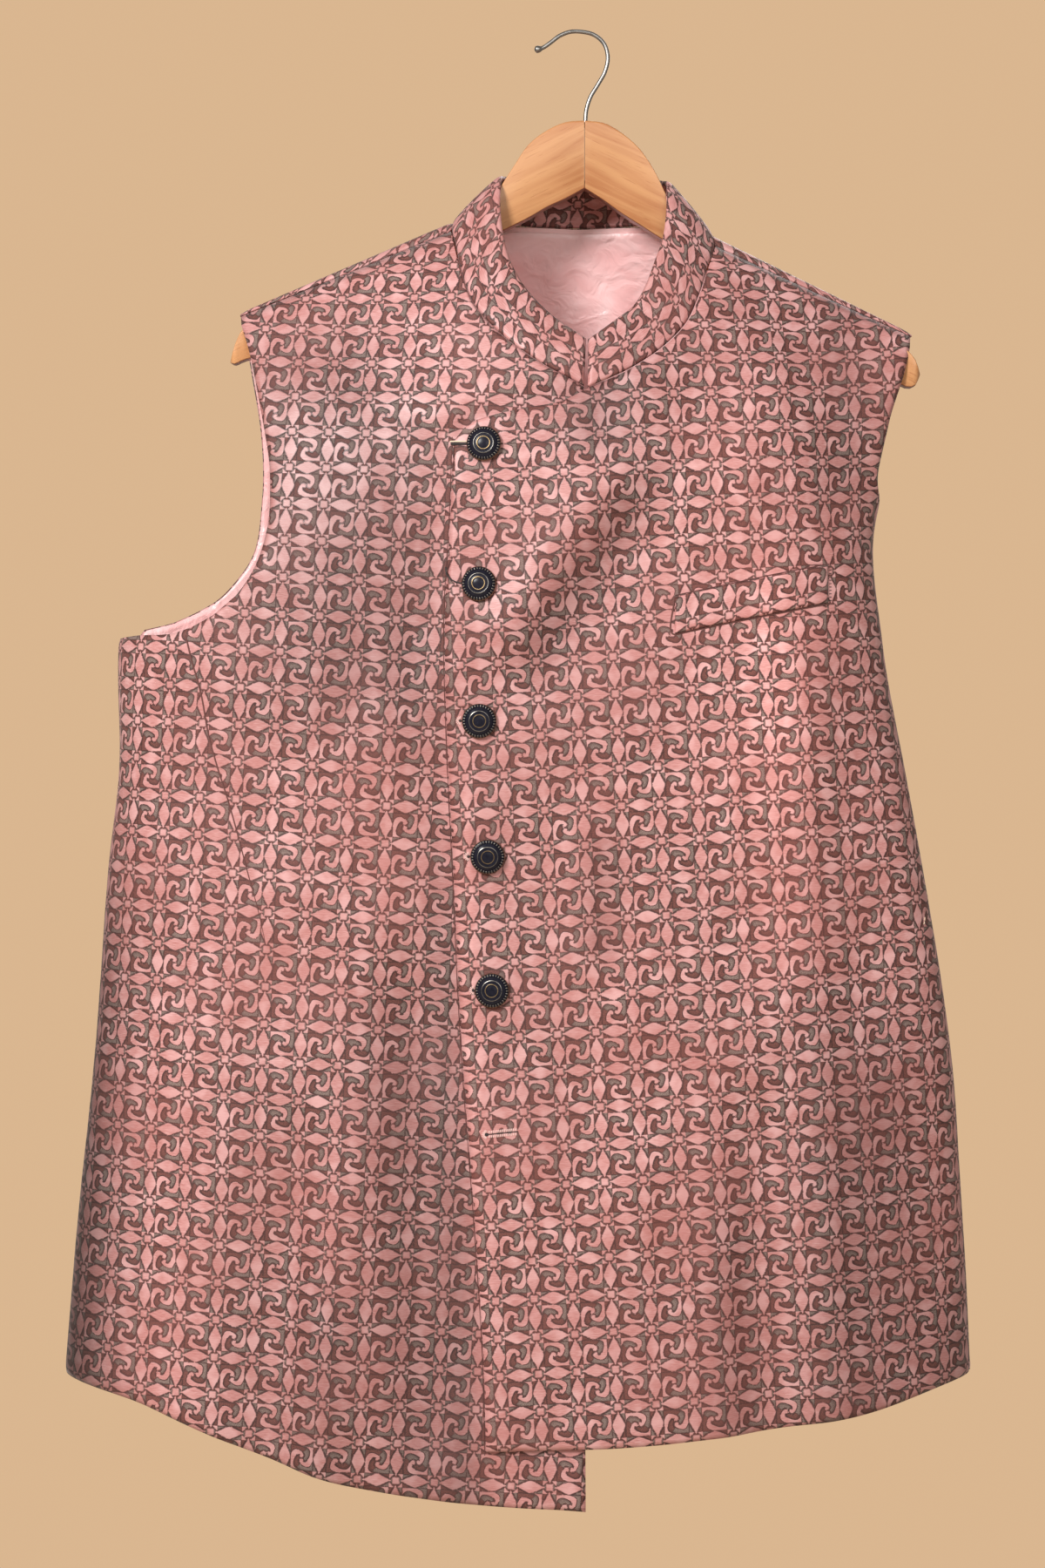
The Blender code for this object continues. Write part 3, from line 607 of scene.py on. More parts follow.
def rings_from_edge(quads, count, deepest=3):
    """How many quads each point lies from the sheet's edge, up to deepest."""
    ends = np.concatenate([quads[:, [0, 1]], quads[:, [1, 2]], quads[:, [2, 3]], quads[:, [3, 0]]])
    found, times = np.unique(np.sort(ends, axis=1), axis=0, return_counts=True)
    ring = np.full(count, deepest)
    ring[found[times == 1].ravel()] = 0
    for level in range(1, deepest):
        touched = quads[(ring[quads] == level - 1).any(axis=1)].ravel()
        touched = touched[ring[touched] > level]
        ring[touched] = level
    return ring


def link(name, data, finishes):
    obj = bpy.data.objects.new(name, data)
    bpy.context.scene.collection.objects.link(obj)
    for finish in finishes:
        data.materials.append(finish)
    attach(obj, "root")
    return obj


EDGE_ROLL = np.array([0.85, 0.22, 0.03, 0.0]) * MM


def cloth_piece(
    name, low, high, first, weave_low, weave_high, wall, finishes, turned=False, roll=1.0, moved=0.0,
    extra_painted_shading=None,
):
    """A closed shell in the place of the solid of this name: this sheet as its outer face, with
    rolled edges, and the wall behind it. finishes are the outer and the inner material."""
    points = np.concatenate([low.reshape(-1, 3), high[1:].reshape(-1, 3)])
    weave = np.concatenate([weave_low.reshape(-1, 2), weave_high[1:].reshape(-1, 2)])
    quads = sheet_faces(low.shape[:2], high.shape[:2], first)
    if turned:
        quads = quads[:, ::-1]
    mesh = bpy.data.meshes.new(f"{name}_cloth")
    mesh.from_pydata(points.tolist(), [], quads.tolist())
    # Painted shade and light: how much darker each point's colour is, from the main table and any extra
    # rows, carried in a UV map of its own.
    painted_shading = np.zeros(len(points))
    for rows in (PAINTED_SHADE_AND_LIGHT, extra_painted_shading) if extra_painted_shading else ():
        painted_shading += creases(rows, points[:, 0], points[:, 2]) / MM
    for map_name, values in (("weave", weave), ("painted_shading", np.stack([painted_shading, 0 * painted_shading], axis=-1))):
        layer = mesh.uv_layers.new(name=map_name)
        layer.uv.foreach_set("vector", values[quads.ravel()].astype(np.float32).ravel())
    normals = np.empty(len(points) * 3, np.float32)
    mesh.vertices.foreach_get("normal", normals)
    normals = normals.reshape(-1, 3)
    ring = rings_from_edge(quads, len(points))
    inward = EDGE_ROLL[ring] * roll + moved
    points = points - normals * inward[:, None]
    mesh.vertices.foreach_set("co", points.astype(np.float32).ravel())
    mesh.update()
    obj = link(f"{name}_cloth", mesh, finishes)
    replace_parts(obj, name)
    solidify = obj.modifiers.new("wall", "SOLIDIFY")
    solidify.thickness, solidify.offset = wall, -1
    solidify.material_offset = len(finishes) - 1
    mesh.shade_smooth()
    return obj


# ---------------------------------------------------------------- shader arithmetic
class Wire:
    """A shader value that Python's operators add Math nodes to."""

    def __init__(self, net, socket):
        self.net, self.socket = net, socket


for operator, operation in (
    ("add", "ADD"), ("sub", "SUBTRACT"), ("mul", "MULTIPLY"), ("truediv", "DIVIDE"), ("lt", "LESS_THAN"),
    ("gt", "GREATER_THAN"),
):
    setattr(Wire, f"__{operator}__", lambda a, b, op=operation: a.net.math(op, a, b))
    if operator in ("add", "sub", "mul"):
        setattr(Wire, f"__r{operator}__", lambda a, b, op=operation: a.net.math(op, b, a))


class Net:
    """A node tree, with short calls for the nodes used here."""

    def __init__(self, tree):
        self.tree = tree

    def node(self, kind, **settings):
        found = self.tree.nodes.new(kind)
        for name, value in settings.items():
            setattr(found, name, value)
        return found

    def link(self, value, socket):
        if isinstance(value, Wire):
            self.tree.links.new(value.socket, socket)
        else:
            socket.default_value = value

    def math(self, operation, *values):
        node = self.node("ShaderNodeMath", operation=operation)
        for value, socket in zip(values, node.inputs):
            self.link(value, socket)
        return Wire(self, node.outputs[0])

    def near(self, value, middle, half):
        """1 where value is within half of middle, fading to its edges."""
        away = self.absolute(value - middle) / half
        return self.higher(1 - self.power(away, 4.0), 0.0)

    def ramp(self, value, low, high):
        node = self.node("ShaderNodeMapRange", interpolation_type="SMOOTHSTEP")
        for given, socket in zip((value, low, high), node.inputs):
            self.link(given, socket)
        return Wire(self, node.outputs[0])

    def mix(self, factor, a, b):
        """A colour between a and b."""
        node = self.node("ShaderNodeMix", data_type="RGBA")
        for given, socket in ((factor, node.inputs[0]), (a, node.inputs[6]), (b, node.inputs[7])):
            self.link((*given, 1) if isinstance(given, tuple) else given, socket)
        return Wire(self, node.outputs[2])

    def vector(self, x, y, z=0.0):
        node = self.node("ShaderNodeCombineXYZ")
        for given, socket in zip((x, y, z), node.inputs):
            self.link(given, socket)
        return Wire(self, node.outputs[0])

    def parts(self, socket):
        """A vector and its x, y and z."""
        split = self.node("ShaderNodeSeparateXYZ")
        self.tree.links.new(socket, split.inputs[0])
        return Wire(self, socket), *(Wire(self, part) for part in split.outputs)

    def noise(self, at, scale, detail=2.0, distortion=0.0):
        node = self.node("ShaderNodeTexNoise")
        self.link(at, node.inputs["Vector"])
        node.inputs["Scale"].default_value = scale
        node.inputs["Detail"].default_value = detail
        node.inputs["Distortion"].default_value = distortion
        return Wire(self, node.outputs["Fac"])

    def uv(self, name):
        return self.parts(self.node("ShaderNodeUVMap", uv_map=name).outputs[0])[:3]

    def place(self):
        """The point in space, which stays with the object."""
        return self.parts(self.node("ShaderNodeTexCoord").outputs["Object"])

    def bump(self, height, strength, distance):
        node = self.node("ShaderNodeBump")
        self.link(height, node.inputs["Height"])
        node.inputs["Strength"].default_value = strength
        node.inputs["Distance"].default_value = distance
        return Wire(self, node.outputs[0])


for call, operation in (
    ("absolute", "ABSOLUTE"), ("fraction", "FRACT"), ("floor", "FLOOR"), ("lower", "MINIMUM"),
    ("higher", "MAXIMUM"), ("power", "POWER"),
):
    setattr(Net, call, lambda net, *values, op=operation: net.math(op, *values))


def new_material(name, roughness=0.5, metallic=0.0, **inputs):
    found = bpy.data.materials.new(name)
    found.use_nodes = True
    shader = found.node_tree.nodes["Principled BSDF"]
    inputs = {"Roughness": roughness, "Metallic": metallic, **inputs}
    for key, value in inputs.items():
        shader.inputs[key.replace("_", " ")].default_value = value
    return found, Net(found.node_tree), shader


# ---------------------------------------------------------------- the jacquard
PINK, PINK_PAINTED_SHEEN, PINK_DEEP = (0.62, 0.300, 0.285), (0.73, 0.415, 0.405), (0.50, 0.205, 0.190)
GREY, GREY_DARK = (0.27, 0.190, 0.165), (0.070, 0.040, 0.034)
BROWN, BROWN_DARK = (0.205, 0.070, 0.056), (0.055, 0.016, 0.013)
LINE = (0.045, 0.014, 0.012)
STAR, LENS_WIDE, LENS_LONG, SQUARE = 0.195, 0.182, 0.375, 0.325
TWIST = 0.53            # of a full turn, from the square's edge to the middle


def jacquard_material():
    """One cell has a four-pointed star at each corner, a lens along each side with triangles
    beside it, and a square in the middle in which four roots twist into two hooks. The twist's
    square is turned by a quarter in every other column."""
    material, net, shader = new_material("jacquard", 0.5, Sheen_Weight=0.15, Sheen_Roughness=0.4)
    cloth, u, v = net.uv("weave")
    wobble = net.noise(cloth, 9.0, 2.0) - 0.5
    u, v = u + wobble * 0.035, v + (net.noise(cloth, 7.0, 2.0, 0.3) - 0.5) * 0.035
    cx, cy = net.fraction(u), net.fraction(v)
    x, y = cx - 0.5, cy - 0.5
    ax, ay = net.absolute(x), net.absolute(y)
    dx, dy = 0.5 - ax, 0.5 - ay

    diamond = dx + dy
    in_star = diamond < STAR
    in_small_square = net.higher(dx, dy) < STAR / 2
    lens_flat = dy / LENS_WIDE + net.power(ax / LENS_LONG, 1.25)
    lens_tall = dx / LENS_WIDE + net.power(ay / LENS_LONG, 1.25)
    lens = net.lower(lens_flat, lens_tall)
    in_lens = lens < 1.0
    side = net.higher(ax, ay)
    in_square = side < SQUARE
    in_corner = net.lower(ax, ay) > SQUARE

    brown_strip = (x * y * (ay - ax)) > 0.0
    brown_star = dx < dy

    column = net.math("MODULO", net.floor(u) + 1000.0, 2.0)
    radius = net.power(net.power(ax, 4.0) + net.power(ay, 4.0), 0.25)
    near_middle = net.higher(1 - radius / (SQUARE + 0.01), 0.0)
    angle = net.math("ARCTAN2", y, x) / (2 * math.pi) + 0.375 + (1 - column) * 0.25
    swept = net.fraction(angle - near_middle * TWIST + 4.0) * 2 + 0.25
    half = net.math("MODULO", net.floor(swept), 2.0)
    g = net.fraction(swept)
    arm_end = 0.52 * net.ramp(radius, 0.03, 0.10)
    in_arm = g < arm_end
    change = 0.461 * net.ramp(radius, 0.13, 0.30)
    second = g > change
    arm_grey = net.absolute(half - second)      # 1 if just one of the two is
    arm_brown = 1 - arm_grey

    # How brown and how grey the figure is here; elsewhere it is the pink ground.
    strip = (1 - in_square) * (1 - in_corner) * (1 - in_lens)
    star_arm = in_star * (1 - in_small_square) * (1 - in_lens)
    outside_star = 1 - in_star
    arm = in_square * in_arm
    brown = star_arm * brown_star + outside_star * (strip * brown_strip + arm * arm_brown)
    grey = star_arm * (1 - brown_star) + outside_star * (strip * (1 - brown_strip) + arm * arm_grey)
    figure = net.lower(brown + grey, 1.0)

    # Dark lines: along the lenses, round the stars, and along the arms of the twist.
    to_arm = net.lower(net.lower(g, 1 - g), net.absolute(g - arm_end)) * radius * math.pi
    arm_line = in_square * net.near(to_arm, 0.0, 0.036)
    change_line = arm * net.near((g - change) * radius * math.pi, 0.0, 0.024)
    lens_line = net.near(lens, 1.05, 0.19) * (1 - in_square) * (1 - in_corner)
    star_line = net.near(diamond, STAR, 0.042) * (1 - in_lens)
    small_line = net.near(net.higher(dx, dy), STAR / 2, 0.024) * in_star
    square_line = net.near(side, SQUARE, 0.022) * (net.lower(ax, ay) < SQUARE)
    lines = net.higher(lens_line * 0.85, star_line * 0.8)
    for line_here in (square_line * 0.75, small_line * 0.5, arm_line * 0.9, change_line * 0.5):
        lines = net.higher(lines, line_here)
    lines = lines * net.ramp(net.noise(cloth, 16.0, 1.0), 0.26, 0.46)

    # Threads: long weft floats on the ground, and a stipple in the figures.
    weft_at = net.vector(u * 5.0, v * 42.0)
    weft = net.noise(weft_at, 1.0, 2.0)
    stipple = net.noise(cloth, 55.0, 1.0)
    painted_sheen_patches = net.noise(cloth, 1.7, 2.0)
    painted_shading = net.ramp(net.noise(cloth, 0.33, 3.0), 0.34, 0.62)
    ground = net.mix(net.ramp(weft, 0.30, 0.70), PINK_DEEP, PINK)
    # Painted sheen: soft patches of lighter pink on the ground.
    ground = net.mix(net.ramp(painted_sheen_patches, 0.42, 0.68) * 0.75, ground, PINK_PAINTED_SHEEN)
    speckle = net.ramp(stipple, 0.46, 0.60)
    grey_color = net.mix(speckle * 0.75, GREY, GREY_DARK)
    brown_color = net.mix(speckle * 0.80, BROWN, BROWN_DARK)
    color = net.mix(brown, net.mix(grey, ground, grey_color), brown_color)
    # Thin pale streaks along the weft: slubs in the thread, and painted highlights on the floats.
    slub_and_highlight = net.ramp(net.noise(net.vector(u * 3.0, v * 60.0), 1.0, 1.0), 0.62, 0.74) * (1 - figure)
    color = net.mix(slub_and_highlight * 0.45, color, (0.86, 0.60, 0.58))
    arm_shade = arm * net.ramp(g / arm_end, 0.45, 1.0) + strip * net.ramp(side, 0.34, 0.44) * 0.5
    color = net.mix(net.lower(arm_shade, 1.0) * figure * 0.62, color, (0.040, 0.013, 0.011))
    color = net.mix(net.lower(lines * 1.15, 1.0) * 0.92, color, LINE)
    # Painted shade in large soft patches: where the large slow noise is low, the colour goes towards a dark
    # red, darker in the figures.
    painted_shade_color = net.mix(figure * 0.6, (0.40, 0.12, 0.10), (0.07, 0.02, 0.018))
    color = net.mix((1 - painted_shading) * 0.30, color, painted_shade_color)
    # Painted shade and light from the tables: the colour scaled by one less the value in that UV map.
    dimmed = net.node("ShaderNodeVectorMath", operation="SCALE")
    net.link(color, dimmed.inputs[0])
    net.link(1 - net.uv("painted_shading")[1], dimmed.inputs["Scale"])
    net.link(Wire(net, dimmed.outputs[0]), shader.inputs["Base Color"])
    net.link(0.42 + figure * 0.25 + (weft - 0.5) * 0.15, shader.inputs["Roughness"])
    relief = (1 - figure) * 0.55 + (weft - 0.5) * 0.5 + (stipple - 0.5) * figure * 0.8 - lines * 0.35
    net.link(net.bump(relief, 0.35, 0.5 * MM), shader.inputs["Normal"])
    return material


def satin_material():
    material, net, shader = new_material("satin_lining", 0.34, Sheen_Weight=0.1)
    at, x, y, z = net.place()
    cloud = net.noise(at, 18.0, 3.0, 0.6)
    color = net.mix(net.ramp(cloud, 0.35, 0.68), (0.95, 0.56, 0.55), (1.0, 0.72, 0.71))
    net.link(color, shader.inputs["Base Color"])
    threads = net.noise(net.vector(x * 300.0, y * 300.0, z * 2600.0), 1.0, 1.0)
    net.link(0.28 + threads * 0.14, shader.inputs["Roughness"])
    creases = net.noise(net.vector(x * 62.0, y * 62.0, z * 80.0), 1.0, 2.5, 1.2)
    net.link(net.bump(creases * 1.0 + threads * 0.03, 0.5, 4 * MM), shader.inputs["Normal"])
    return material


def wood_material(slant):
    """Grain that runs along one arm, which slants down by this angle from the middle, and painted shade on
    the faces that look down.
    """
    material, net, shader = new_material("wood", 0.38, Coat_Weight=0.25, Coat_Roughness=0.25)
    at, x, y, z = net.place()
    c, s = math.cos(slant), math.sin(slant)
    along, across = x * c + z * s, z * c - x * s
    warp = net.noise(net.vector(along * 9.0, y * 30.0, across * 40.0), 1.0, 2.0)
    rings = net.noise(net.vector(along * 7.0, y * 60.0, across * 190.0 + warp * 3.0), 1.0, 2.0, 0.4)
    pores = net.noise(net.vector(along * 90.0, y * 900.0, across * 1500.0), 1.0, 1.0)
    base = net.mix(net.ramp(rings, 0.30, 0.70), (0.57, 0.280, 0.115), (0.43, 0.165, 0.055))
    base = net.mix(net.ramp(net.noise(at, 14.0, 1.0), 0.35, 0.75) * 0.6, base, (0.72, 0.37, 0.16))
    base = net.mix(net.ramp(pores, 0.62, 0.75) * 0.5, base, (0.38, 0.13, 0.04))
    # Painted shade: faces that look down are darkened towards a deep brown, as if lit from above.
    upward = net.parts(net.node("ShaderNodeNewGeometry").outputs["True Normal"])[3]
    underside_shade = net.ramp(upward * -1.0, 0.45, 0.80)
    base = net.mix(underside_shade * 0.85, base, (0.22, 0.062, 0.022))
    net.link(base, shader.inputs["Base Color"])
    net.link(0.30 + rings * 0.18, shader.inputs["Roughness"])
    relief = rings * 0.4 - net.ramp(pores, 0.62, 0.75) * 0.5
    net.link(net.bump(relief, 0.15, 0.3 * MM), shader.inputs["Normal"])
    return material


def speckled_material(name, low, high, grain, roughness, spread, metallic=0.0, fuzz=0.0, **inputs):
    """A finish between two colours, whose grain is finer along an axis where its number is
    higher. Its roughness goes up by spread, and fuzz is the strength of its bump."""
    material, net, shader = new_material(name, roughness, metallic, **inputs)
    place = net.place()[1:]
    speckle = net.noise(net.vector(*(part * fine for part, fine in zip(place, grain))), 1.0, 2.0)
    net.link(net.mix(speckle, low, high), shader.inputs["Base Color"])
    net.link(roughness + speckle * spread, shader.inputs["Roughness"])
    if fuzz:
        net.link(net.bump(speckle, fuzz, 0.1 * MM), shader.inputs["Normal"])
    return material


def thread_material(name, low, high):
    return speckled_material(name, low, high, (1500.0,) * 3, 0.75, 0.0, fuzz=0.3, Sheen_Weight=0.3)


JACQUARD = jacquard_material()
SATIN = satin_material()
STEEL = speckled_material(
    "steel", (0.22, 0.21, 0.20), (0.36, 0.35, 0.33), (500.0, 500.0, 120.0), 0.26, 0.18, metallic=1.0
)
BUTTON_BLACK = speckled_material(
    "button_black", (0.006, 0.006, 0.011), (0.020, 0.020, 0.032), (420.0,) * 3, 0.16, 0.16,
    Specular_IOR_Level=0.16,
)
SILVER, GOLD = (
    speckled_material(name, low, high, (700.0,) * 3, roughness, 0.16, metallic=1.0)
    for name, low, high, roughness in (
        ("old_silver", (0.10, 0.09, 0.08), (0.30, 0.28, 0.25), 0.22),
        ("old_gold", (0.20, 0.13, 0.06), (0.42, 0.30, 0.15), 0.28),
    )
)
THREAD_DARK = thread_material("thread_dark", (0.010, 0.008, 0.008), (0.030, 0.022, 0.020))
THREAD_PINK = thread_material("thread_pink", (0.80, 0.48, 0.44), (0.92, 0.66, 0.62))
THREAD_PALE = thread_material("thread_pale", (0.80, 0.60, 0.42), (0.90, 0.74, 0.56))
SEAM_SHADE = thread_material("seam_shade", (0.10, 0.030, 0.025), (0.16, 0.050, 0.040))


# ---------------------------------------------------------------- the panels
def weave_of(cells, lengths, star, turn, column=0):
    """The pattern on these cells, with a star of the figure at this (x, z) in mm."""
    x, z = np.array(star) * MM
    spot = lengths.at(np.array([angle_at(x, z), z]))
    return weave_at(lengths.at(cells), spot / MM, turn, column)


FRONT_LENGTHS = ClothLengths(-SEAM_LEFT - 0.05, SEAM_RIGHT + 0.05)
BACK_LENGTHS = ClothLengths(SEAM_RIGHT - 0.05, 2 * math.pi - SEAM_LEFT + 0.05)

over_cells = over_panel_grids()
front_over = cloth_piece(
    "front_over", placed(over_cells[0]), placed(over_cells[1]), ARM_COLUMNS,
    *(weave_of(cells, FRONT_LENGTHS, (-54.1, -308.3), 3.3) for cells in over_cells),
    CLOTH, (JACQUARD, SATIN), turned=True, extra_painted_shading=OVER_PAINTED_LIGHT,
)
under_cells = under_panel_grids()
front_under = cloth_piece(
    "front_under", placed_under(under_cells[0]), placed_under(under_cells[1]), ARM_COLUMNS,
    *(weave_of(cells, FRONT_LENGTHS, (-75.6, -626.3), -2.5, 1) for cells in under_cells),
    CLOTH, (JACQUARD, SATIN), extra_painted_shading=UNDER_PAINTED_SHADE,
)
back_cells = back_grids()
back_low, back_high = map(placed, back_cells)
weave_low, weave_high = (weave_of(cells, BACK_LENGTHS, (0, -300), 0) for cells in back_cells)
ridge_rows = 4
past = over_the_ridge(back_high, ridge_rows)
weave_past = [weave_high[-1] - (0, 1.6 * MM / CELL_HIGH * row) for row in range(1, ridge_rows + 1)]
back = cloth_piece(
    "back", back_low, past, BACK_ARM_COLUMNS, weave_low, np.concatenate([weave_high, weave_past]),
    CLOTH, (JACQUARD, SATIN),
)
lining_cells = back_grids(LINING_GAP, hem_up=20 * MM, neck_in=1.5 * MM, ridge_in=4 * MM)
lining_low, lining_high = map(placed, lining_cells)
back_lining = cloth_piece(
    "back_lining", lining_low, lining_high, BACK_ARM_COLUMNS,
    *(weave_of(cells, BACK_LENGTHS, (0, 0), 0) for cells in lining_cells),
    LINING, (SATIN,), roll=0.3, moved=CLOTH + 0.4 * MM,
)


# ---------------------------------------------------------------- the collar
COLLAR_COLUMNS, COLLAR_ROWS = 220, 22
COLLAR_GAP, COLLAR_BULGE = 0.5 * MM, 2.0 * MM


def neck_ring():
    """The neck seam in space, from one centre-front end round the back to the other."""
    left = placed_under(on_form(NECK_FRONT_LEFT)[::-1])
    back_neck = form(*on_form(NECK_BACK, True)[::-1].T)
    right = form(*on_form(NECK_FRONT_RIGHT).T)
    return np.vstack([left, back_neck, right])


def collar_points():
    foot = smooth_path(neck_ring(), COLLAR_COLUMNS)
    rim = smooth_path(np.column_stack([COLLAR_RIM[name] for name in "xyz"]), COLLAR_COLUMNS)
    middle = foot.mean(axis=0)
    inward = (middle - foot) * [1, 1, 0]
    inward /= np.linalg.norm(inward, axis=1, keepdims=True)
    up = (rim - foot) / np.linalg.norm(rim - foot, axis=1, keepdims=True)
    foot = foot + up * COLLAR_GAP
    rows = []
    for row in range(COLLAR_ROWS):
        t = row / (COLLAR_ROWS - 1)
        rows.append(foot * (1 - t) + rim * t - inward * COLLAR_BULGE * 4 * t * (1 - t))
    return np.array(rows)


def lengths_on(points, middle):
    """(across, up) lengths on a grid, measured from its bottom edge's point at this column."""
    across = np.concatenate([[0], np.cumsum(np.linalg.norm(np.diff(points.mean(axis=0), axis=0), axis=1))])
    up = np.concatenate([
        np.zeros((1, points.shape[1])), np.cumsum(np.linalg.norm(np.diff(points, axis=0), axis=2), axis=0)
    ])
    return np.stack([np.broadcast_to(across - across[middle], up.shape), up], axis=-1)


collar_grid = collar_points()
collar_weave = weave_at(lengths_on(collar_grid, COLLAR_COLUMNS // 2), (0, 16), 0)
collar = cloth_piece(
    "collar", collar_grid, collar_grid[-1:], 0, collar_weave, collar_weave[-1:],
    COLLAR_WALL, (JACQUARD,), turned=True, roll=1.3,
)


# ---------------------------------------------------------------- the chest welt
def welt_points(columns=64, rows=18):
    x = np.linspace(WELT["x"][0], WELT["x"][-1], columns)
    low, high = read(WELT, "x", "low", x), read(WELT, "x", "high", x)
    z = low + (high - low) * np.linspace(0, 1, rows)[:, None]
    x = x + 0 * z
    points = placed(np.stack([angle_at(x, z), z], axis=-1))
    points[..., 1] -= WELT_OUT
    return points


welt_grid = welt_points()
welt_weave = weave_at(lengths_on(welt_grid, 0), (11, 4), 0)
chest_welt = cloth_piece(
    "chest_welt", welt_grid, welt_grid[-1:], 0, welt_weave, welt_weave[-1:], WELT_WALL, (JACQUARD,),
    extra_painted_shading=OVER_PAINTED_LIGHT,
)


# ---------------------------------------------------------------- turned pieces, tubes and stitches
def lathe(profile, steps):
    """(points, quads, finish numbers) of a profile of (radius mm, height mm, finish of the band
    above it) turned about Z, from the front of the axis to the back of it."""
    turn = np.linspace(0, 2 * math.pi, steps, endpoint=False)
    circle = np.stack([np.cos(turn), np.sin(turn)], axis=-1)
    points, faces, finish = [], [], []
    rings = [(max(radius, 0.02) * MM, height * MM) for radius, height, _ in profile]
    for radius, height in rings:
        points += [(*(spot * radius), height) for spot in circle]
    for ring in range(len(rings) - 1):
        low, high = ring * steps, (ring + 1) * steps
        for i in range(steps):
            j = (i + 1) % steps
            faces.append((low + i, high + i, high + j, low + j))
            finish.append(profile[ring][2])
    last = (len(rings) - 1) * steps
    faces += [tuple(range(steps)), tuple(range(last + steps - 1, last - 1, -1))]
    finish += [profile[0][2], profile[-1][2]]
    return points, faces, finish


def capsule(at, along, out, long, wide, high, sides=8, rings=5):
    """(points, faces) of a bead at a point, with its length, width and height."""
    along, out = Vector(along).normalized(), Vector(out).normalized()
    across = out.cross(along)
    points = [Vector(at) - along * long / 2]
    for ring in range(1, rings):
        turn = math.pi * ring / rings
        middle, girth = Vector(at) - along * math.cos(turn) * long / 2, math.sin(turn) ** 0.7
        for side in range(sides):
            spin = 2 * math.pi * side / sides
            sideways = across * math.cos(spin) * girth * wide / 2
            points.append(middle + sideways + out * math.sin(spin) * girth * high / 2)
    points.append(Vector(at) + along * long / 2)
    faces = []
    for side in range(sides):
        after = (side + 1) % sides
        faces.append((0, 1 + after, 1 + side))
        for ring in range(rings - 2):
            base = 1 + ring * sides
            faces.append((base + side, base + after, base + sides + after, base + sides + side))
        base = 1 + (rings - 2) * sides
        faces.append((base + side, base + after, len(points) - 1))
    return points, faces


def add_beads(points, faces, beads):
    """Adds capsules to these points and faces, and returns how many faces came."""
    before = len(faces)
    for bead in beads:
        start = len(points)
        found, round_it = capsule(*bead)
        points += [tuple(point) for point in found]
        faces += [tuple(start + i for i in face) for face in round_it]
    return len(faces) - before


def smooth_mesh(name, points, faces):
    mesh = bpy.data.meshes.new(name)
    mesh.from_pydata(points, [], faces)
    mesh.shade_smooth()
    return mesh


def frame_on(place, x, z):
    """A front's point here, the direction straight out of it, and up along it."""
    def at(x, z):
        return place(np.array([angle_at(x, z), z]))

    step = 4 * MM
    across, up = at(x + step, z) - at(x - step, z), at(x, z + step) - at(x, z - step)
    out = Vector(np.cross(across, up)).normalized()
    return Vector(at(x, z)), out, Vector(up).normalized()


# ---------------------------------------------------------------- the buttons
BUTTON_CLEAR = 0.6 * MM
DOME, SILVER_RING, GOLD_RING = 0, 1, 2
BUTTON_PROFILE = (
    # radius and height in mm, finish
    (0, 5.10, DOME), (1.5, 5.06, DOME), (2.8, 4.90, DOME), (3.7, 4.70, GOLD_RING), (3.9, 4.78, GOLD_RING),
    (4.1, 4.72, DOME),
    (4.5, 4.62, DOME), (5.6, 4.50, DOME), (6.0, 4.60, SILVER_RING), (6.2, 4.62, SILVER_RING),
    (6.45, 4.40, DOME), (7.6, 4.10, DOME), (8.2, 3.50, DOME), (8.6, 3.00, DOME), (9.6, 2.70, DOME),
    (10.35, 2.20, GOLD_RING), (10.6, 1.90, GOLD_RING), (10.45, 1.40, DOME), (9.3, 0.90, DOME),
    (7.2, 0.00, DOME), (0, 0, DOME),
)
BEADS, BEAD_RADIUS = 34, 9.45


def button_mesh(name):
    points, faces, finish = lathe(BUTTON_PROFILE, 64)
    beads = []
    for bead in range(BEADS):
        turn = 2 * math.pi * bead / BEADS
        spot = Vector((math.cos(turn), math.sin(turn), 0))
        at = spot * BEAD_RADIUS * MM + Vector((0, 0, 3.0 * MM))
        beads.append((at, spot + Vector((0, 0, -0.35)), (0, 0, 1), 2.0 * MM, 1.05 * MM, 1.3 * MM))
    finish += [SILVER_RING] * add_beads(points, faces, beads)
    mesh = smooth_mesh(name, points, faces)
    mesh.polygons.foreach_set("material_index", finish)
    return mesh


for number, (x, z) in enumerate(zip(BUTTONS["x"], BUTTONS["z"]), 1):
    name = f"button_{number}_fine"
    button = link(name, button_mesh(name), (BUTTON_BLACK, SILVER, GOLD))
    spot, out, _ = frame_on(placed, x, z)
    turn = out.to_track_quat("Z", "Y").to_matrix().to_4x4()
    turn.translation = spot + out * BUTTON_CLEAR
    button.data.transform(turn)
    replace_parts(button, f"button_{number}")


# ---------------------------------------------------------------- the hanger
ARM_SLANT = 0.44
TIP_ROUND = 4 * MM
SMALL_EDGE = 1.3 * MM


